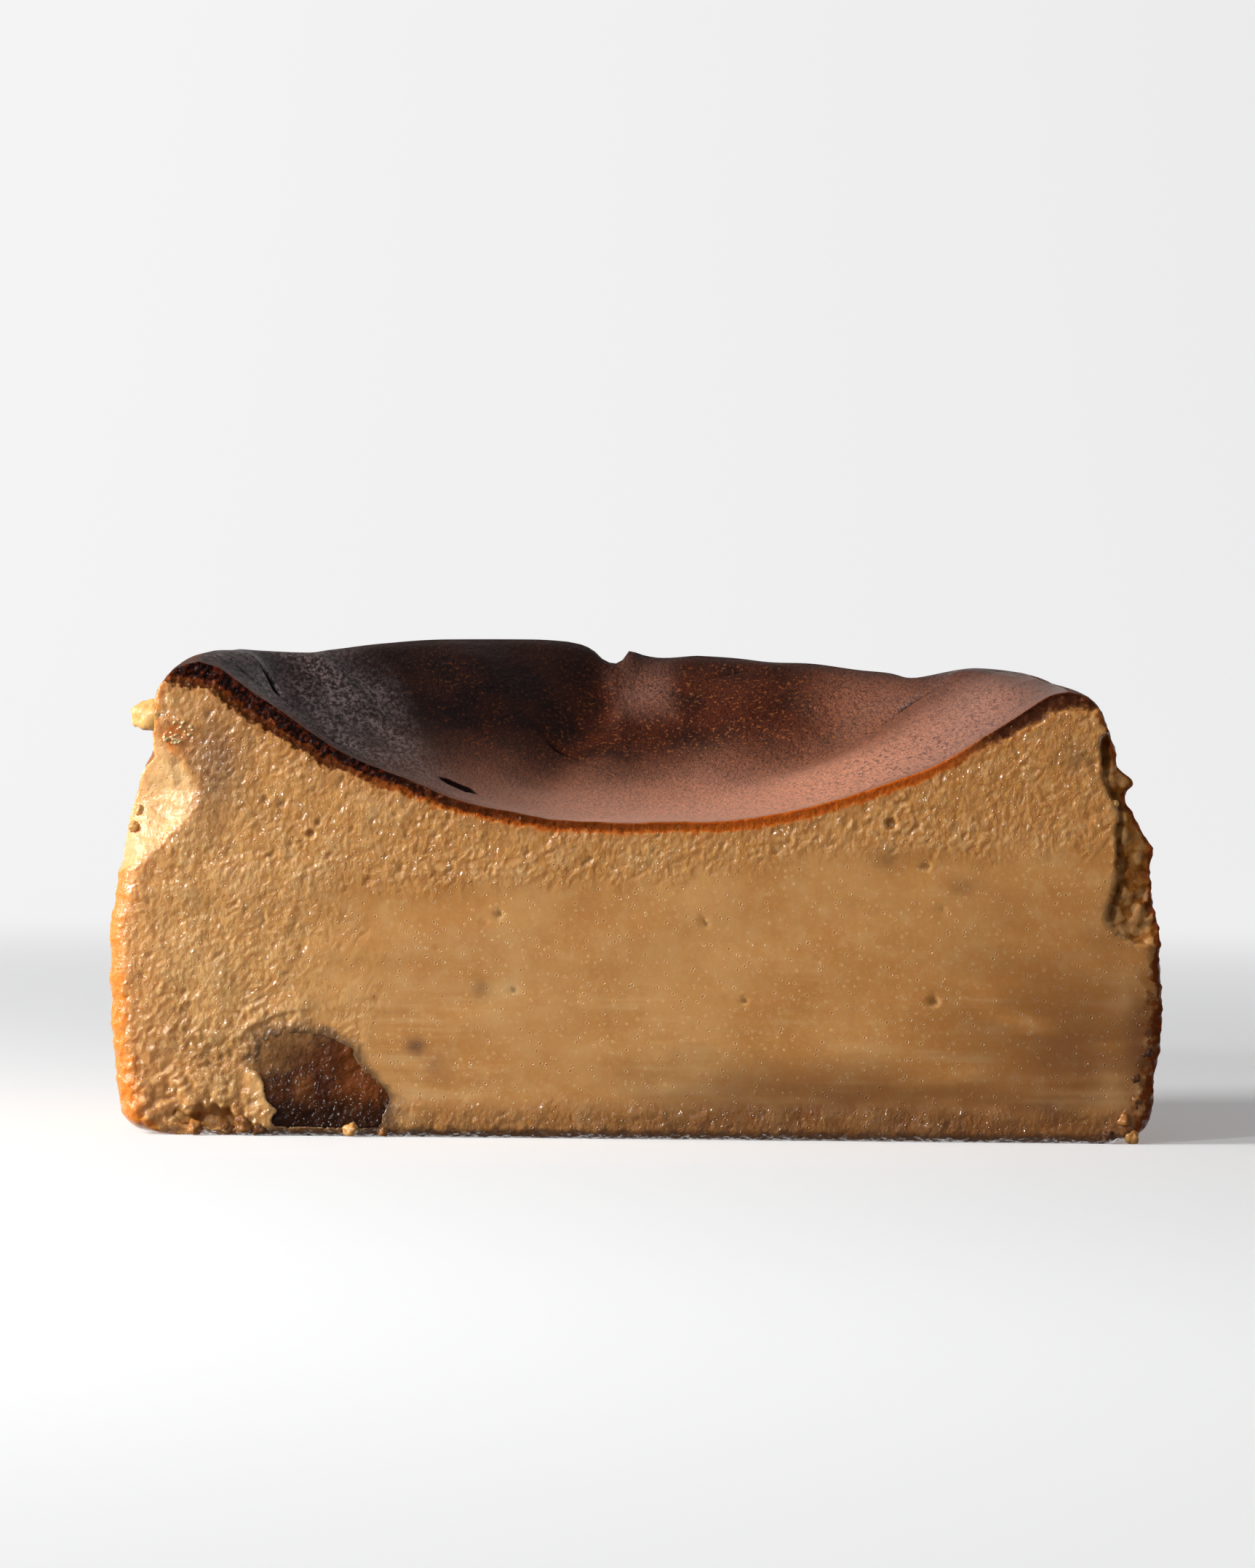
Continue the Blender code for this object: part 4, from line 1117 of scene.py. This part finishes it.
def browned_side():
    """The side: golden at the left and browner at the right, darker towards the rim, creased."""
    f = Finish("browned_side")
    x, z = f.axis("X"), f.axis("Z")
    cloud = f.grain(11.0, 4.0, (1.0, 1.0, 1.5)) + 0.35 * f.uneven(1.4, 3.0)
    gold = f.mix(f.ease(cloud, 0.30, 0.68), SIDE_GOLD, SIDE_AMBER)
    brown = f.mix(f.ease(cloud, 0.32, 0.68), SIDE_AMBER, SIDE_UMBER)
    f.colour = f.mix(f.ease(x + 60.0 * (cloud - 0.5), -60.0, 70.0), gold, brown)
    spots = f.ease(f.grain(2.6, 3.0, shift=(0.0, 7.0, 2.0)), 0.60, 0.72)
    f.paint(0.45 * spots, SIDE_UMBER)
    high = z + 18.0 * f.uneven(8.0, 4.0, (1.0, 1.0, 1.6))
    f.paint(0.85 * f.ease(high, 38.0, 60.0), SIDE_UMBER)
    f.paint(f.ease(high, 54.0, 70.0) * f.ease(cloud, 0.3, 0.6, 1.0, 0.7), SIDE_BURNT)
    f.paint(0.6 * f.ease(high, 6.0, -1.0), SIDE_UMBER)
    # It takes on the colours of the top where it bends over to it.
    over = f.ease(f.outward() + 8.0 * (cloud - 0.5), 66.0, 61.0)
    over = over * f.ease(z, 50.0, 56.0)
    rim = f.mix(f.ease(x, 18.0, 38.0), RIM_DARK, RIM_RIGHT)
    # At the left the rim takes on the top's grey painted sheen.
    rim = f.mix(f.ease(x, -32.0, -52.0), rim, RIM_LEFT_SHEEN)
    f.paint(0.9 * over, rim)
    f.set(Base_Color=f.colour, Roughness=0.58, IOR=1.42, Specular_IOR_Level=0.35)
    f.set(Subsurface_Weight=0.5, Subsurface_Scale=0.0016)
    f.set(Subsurface_Radius=(1.0, 0.45, 0.18))
    creases = f.grain(2.4, 3.0, (1.0, 1.0, 5.0))
    fine = creases + (0.5 * f.grain(0.5, 3.0) + 0.6 * f.grain(1.1, 3.0))
    f.bump(fine, 0.30)
    return f.material


def underside():
    f = Finish("underside")
    patches = f.grain(8.0, 4.0)
    f.colour = f.mix(f.ease(patches, 0.4, 0.62), SKIN_BROWN, UNDER_TAN)
    f.set(Base_Color=f.colour, Roughness=0.5)
    f.bump(f.grain(1.6, 3.0), 0.2)
    return f.material


def candied():
    """Candied chestnut: mauve-brown, moist and slightly clear, under a film of custard at the top."""
    f = Finish("candied_chestnut")
    x, z = f.axis("X"), f.axis("Z")
    cloud = f.grain(3.2, 4.0)
    f.colour = f.mix(f.ease(cloud, 0.38, 0.62), NUT_DARK, NUT_LIGHT)
    high = z + 6.0 * f.uneven(4.0, 3.0)
    right = 0.65 * f.ease(x + 3.0 * f.grain(3.0, 2.0), -42.5, -39.0)
    f.paint(right, NUT_RIGHT)
    f.paint(0.9 * f.ease(high, 7.5, 3.0), NUT_LOW)
    spot = f.ease(high, 4.0, 6.5) * f.ease(high, 9.0, 7.0)
    spot = spot * f.ease(abs(x + 47.4), 2.2, 0.6)
    f.paint(0.6 * spot, NUT_SPOT)
    film = 0.3 * (z - 9.5) + -0.2 * (x + 46.0)
    film = film + 2.2 * f.uneven(2.2, 3.0)
    f.paint(0.8 * f.ease(film, 0.1, 2.0), NUT_FILM)
    f.set(Base_Color=f.colour, Roughness=0.45, IOR=1.4, Specular_IOR_Level=0.12)
    f.set(Subsurface_Weight=0.4, Subsurface_Scale=0.0012)
    f.set(Subsurface_Radius=(1.0, 0.4, 0.2))
    f.bump(f.grain(1.1, 3.0), 0.36)
    moist = f.grain(0.7, 1.5, shift=(1.0, 6.0, 0.0)) * f.ease(high, 14.0, 6.0, 0.25, 1.0)
    f.bump(moist, 1.15, "Coat Normal")
    f.set(Coat_Weight=0.40, Coat_Roughness=0.08, Coat_IOR=1.45)
    return f.material


def crumb():
    """Loose bits of custard and crust, each of its own brownness."""
    f = Finish("crumb")
    brownness = f.number("brownness") + 0.5 * f.uneven(0.7, 3.0)
    f.colour = f.mix(f.ease(brownness, -0.7, -0.3), CRUMB_WHITE, CRUMB_CREAM)
    f.paint(f.ease(brownness, 0.0, 0.5), CRUST_STAIN)
    f.paint(f.ease(brownness, 0.5, 1.0), CRUMB_BURNT)
    f.set(Base_Color=f.colour, Roughness=0.35, IOR=1.42)
    f.set(Subsurface_Weight=0.3, Subsurface_Scale=0.0003)
    f.set(Subsurface_Radius=(1.0, 0.6, 0.3))
    f.bump(f.grain(0.45, 2.0), 0.08)
    f.set(Coat_Weight=0.20, Coat_Roughness=0.15)
    return f.material


# ---- The chestnut ----


def sphere(fineness):
    bm = bmesh.new()
    bmesh.ops.create_icosphere(bm, subdivisions=fineness, radius=1.0)
    points = np.array([v.co for v in bm.verts])
    triangles = [[v.index for v in face.verts] for face in bm.faces]
    bm.free()
    return points, triangles


def make_chestnut(material):
    points, triangles = sphere(CHESTNUT_FINENESS)
    a, b, c = points.T
    outline = curve(CHESTNUT_OUTLINE, np.degrees(np.arctan2(c, a)))
    grown = outline * (1.05 + 0.03 * lumps(0.5, a, b, c))
    x, z = CHESTNUT_AT[0] + a * grown, np.maximum(CHESTNUT_AT[2] + c * grown, CHESTNUT_FOOT)
    relief = waves(CHESTNUT_WAVES, x, z)
    face = -0.10 + 0.7 * relief + 0.17 * np.clip(np.hypot(a, c), 0, 1) ** 6
    y = np.where(b < 0, face, np.maximum(b * CHESTNUT_DEPTH * CHESTNUT_BACK, face + 0.05))
    return to_mesh("chestnut_piece", np.stack([x, y, z], 1), triangles, None, [material])


def make_bit(material):
    points, triangles = sphere(BIT_FINENESS)
    rough = 1 + 0.13 * lumps(0.7, *points.T) + 0.05 * lumps(0.25, *points.T)
    shaped = points * rough[:, None] * np.array(CHESTNUT_BIT_SIZE) + np.array(CHESTNUT_BIT_AT)
    return to_mesh("chestnut_bit_piece", shaped, triangles, None, [material])


def make_crumbs(name, rows, material):
    """Lumpy bits of many sizes in one mesh, from rows of (place, half sizes, brownness)."""
    ball, facets = sphere(CRUMB_FINENESS)
    points, triangles, brownness = [], [], []
    for n, (place, half, brown) in enumerate(rows):
        rough = 1 + 0.50 * lumps(0.9, *(ball.T + 7.0 * n)) + 0.30 * lumps(0.4, *(ball.T + 3.0 * n))
        triangles += [[v + n * len(ball) for v in face] for face in facets]
        points.append(ball * rough[:, None] * np.array(half) + np.array(place))
        brownness += [brown] * len(ball)
    points = np.concatenate(points)
    points[:, 2] = np.maximum(points[:, 2], 0.05)
    made = to_mesh(name, points, triangles, None, [material])
    give(made, brownness=brownness)
    return made


def on_the_cut(x, z):
    """How deep the cut lies at one place."""
    x, z, outline = np.array([x]), np.array([z]), Outline()
    return sum(set_back(x, z, masks(x, z, outline), outline))[0]


def crumb_rows():
    rows = [((x, on_the_cut(x, z) - proud, z), (r, 0.8 * r, r), b) for x, z, proud, r, b in CRUMBS]
    count, middle_x, middle_z, half_x, half_z = GRANULES
    for _ in range(count):
        turn, out = rng.uniform(0.0, math.tau), math.sqrt(rng.uniform(0.0, 1.0))
        x, z = middle_x + half_x * out * math.cos(turn), middle_z + half_z * out * math.sin(turn)
        radius = rng.uniform(*GRANULE_RADIUS)
        rows.append(((x, on_the_cut(x, z) - 0.1 * radius, z), (1.3 * radius, radius, radius), -1.0))
    return rows


# ---- The studio, in metres ----

FLOOR_PROFILE = ((0.05, 0.0), (0.4, 0.0))
FLOOR_RADIUS, WALL_RADIUS, WALL_TOP = 0.9, 3.4, 2.6
WALL_STEPS, TURN_STEPS = 32, 96
FLOOR_TONE = (0.80, 0.80, 0.80)
# Between these distances, in mm, the floor turns from a lit one into a glowing one.
FLOOR_NEAR, FLOOR_FAR = 150.0, 700.0
FLOOR_GLOW = 0.22
WALL_GLOW_LEFT, WALL_GLOW_RIGHT = 0.95, 0.79
WALL_HALF = 900.0  # in mm: the wall's glow changes over twice this width
LAMPS_FACE = (0.0, 0.0, 0.035)
# Name, place, size and power of each lamp.
LAMPS = (
    ("key", (-0.68, -0.20, 0.30), (0.26, 0.32), 7.2),
    ("glint", (-0.44, -0.60, 0.34), (0.048, 0.048), 1.85),
    ("fill", (-0.45, -1.25, 0.75), (0.9, 0.9), 1.6),
)
# The sky is brightest low at the back: from where to where it brightens, and how bright it is.
SKY_BACK, SKY_LOW = (0.15, 0.65), (0.30, 0.06)
SKY_BRIGHTER, SKY_BRIGHTNESS = 1.5, 0.13
SKY_COLOUR = (0.97, 0.98, 1.0)
CLIP_NEAR, CLIP_FAR = 0.05, 20.0


def turned(name, profile, material):
    """A stage piece turned round Z from its profile of (radius, height)."""
    mesh = bpy.data.meshes.new(name)
    points, faces = [], []
    for radius, height in profile:
        for n in range(TURN_STEPS):
            turn = math.tau * n / TURN_STEPS
            points.append((radius * math.cos(turn), radius * math.sin(turn), height))
    for ring in range(0, (len(profile) - 1) * TURN_STEPS, TURN_STEPS):
        for n in range(TURN_STEPS):
            a, b = ring + n, ring + (n + 1) % TURN_STEPS
            faces.append((a, a + TURN_STEPS, b + TURN_STEPS, b))
    faces.append(tuple(range(TURN_STEPS)))
    mesh.from_pydata(points, [], faces)
    mesh.materials.append(material)
    mesh.shade_smooth()
    return add_object(name, mesh)


def lamp(name, at, size, power):
    light = bpy.data.lights.new(name, "AREA")
    light.shape = "RECTANGLE"
    light.size, light.size_y = size
    light.energy = power
    made = add_object(name, light)
    made.location = at
    made.rotation_euler = (Vector(LAMPS_FACE) - Vector(at)).to_track_quat("-Z", "Y").to_euler()


def backdrop():
    """A pale floor that turns up into a wall all round."""
    profile = list(FLOOR_PROFILE)
    for n in range(WALL_STEPS + 1):
        turn = n / WALL_STEPS * math.pi / 2
        radius = FLOOR_RADIUS + (WALL_RADIUS - FLOOR_RADIUS) * math.sin(turn)
        profile.append((radius, WALL_TOP * (1 - math.cos(turn))))
    paper = Finish("backdrop_paper")
    away = paper.ease(paper.length(paper.place()), FLOOR_NEAR, FLOOR_FAR)
    tone = paper.ease(paper.axis("X"), -WALL_HALF, WALL_HALF, WALL_GLOW_LEFT, WALL_GLOW_RIGHT)
    glow = tone * away + paper.ease(away, 0.0, 1.0, FLOOR_GLOW, 0.0)
    white = paper.mix(away, FLOOR_TONE, (0.0, 0.0, 0.0))
    paper.set(Base_Color=white, Roughness=1.0, Specular_IOR_Level=0.0)
    paper.set(Emission_Color=(1.0, 1.0, 1.0), Emission_Strength=glow)
    wall = turned("backdrop", profile, paper.material)
    wall.visible_diffuse = wall.visible_glossy = False


def sky():
    world = bpy.data.worlds.new("studio")
    world.use_nodes = True
    graph = Graph(world.node_tree)
    direction = graph.add("ShaderNodeTexCoord").outputs["Generated"]
    split = graph.add("ShaderNodeSeparateXYZ", {"Vector": direction}).outputs
    glow = graph.ease(split["Y"], *SKY_BACK) * graph.ease(split["Z"], *SKY_LOW)
    background = graph.nodes["Background"].inputs
    graph.put(background["Strength"], graph.math("MULTIPLY_ADD", glow, SKY_BRIGHTER, SKY_BRIGHTNESS))
    graph.put(background["Color"], SKY_COLOUR)
    bpy.context.scene.world = world


def camera():
    data = bpy.data.cameras.new("camera")
    data.sensor_width = SENSOR
    data.lens = PIXELS_PER_MM * CAMERA_AWAY / FRAME_H * SENSOR
    data.clip_start, data.clip_end = CLIP_NEAR, CLIP_FAR
    made = add_object("camera", data)
    made.location = (CAMERA_RIGHT * MM, (-CAMERA_AWAY - HALF_DEPTH) * MM, CAMERA_UP * MM)
    down = math.atan((FRAME_H / 2 - HORIZON) / (PIXELS_PER_MM * CAMERA_AWAY))
    look = Vector((0.0, math.cos(down), -math.sin(down))).to_track_quat("-Z", "Y").to_matrix()
    made.rotation_euler = (look @ Matrix.Rotation(math.radians(CAMERA_ROLL), 3, "Z")).to_euler()
    bpy.context.scene.camera = made


rng = np.random.default_rng(SEED)
CUT, TOP, SKIN, UNDER = range(4)

cake = make_cake([custard(), burnt_top(), browned_side(), underside()])
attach(cake, BODY)
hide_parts("cheesecake")

chestnut_finish = candied()
for make, node in ((make_chestnut, "chestnut"), (make_bit, "chestnut_bit")):
    piece = make(chestnut_finish)
    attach(piece, BODY)
    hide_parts(node)

crumb_finish = crumb()
for name, rows in (("crumbs", crumb_rows()), ("flake", [(FLAKE_AT, FLAKE_SIZE, 0.05)])):
    piece = make_crumbs(name, rows, crumb_finish)
    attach(piece, BODY)

backdrop()
for row in LAMPS:
    lamp(*row)
sky()
camera()
bpy.context.scene.view_settings.view_transform = "Standard"
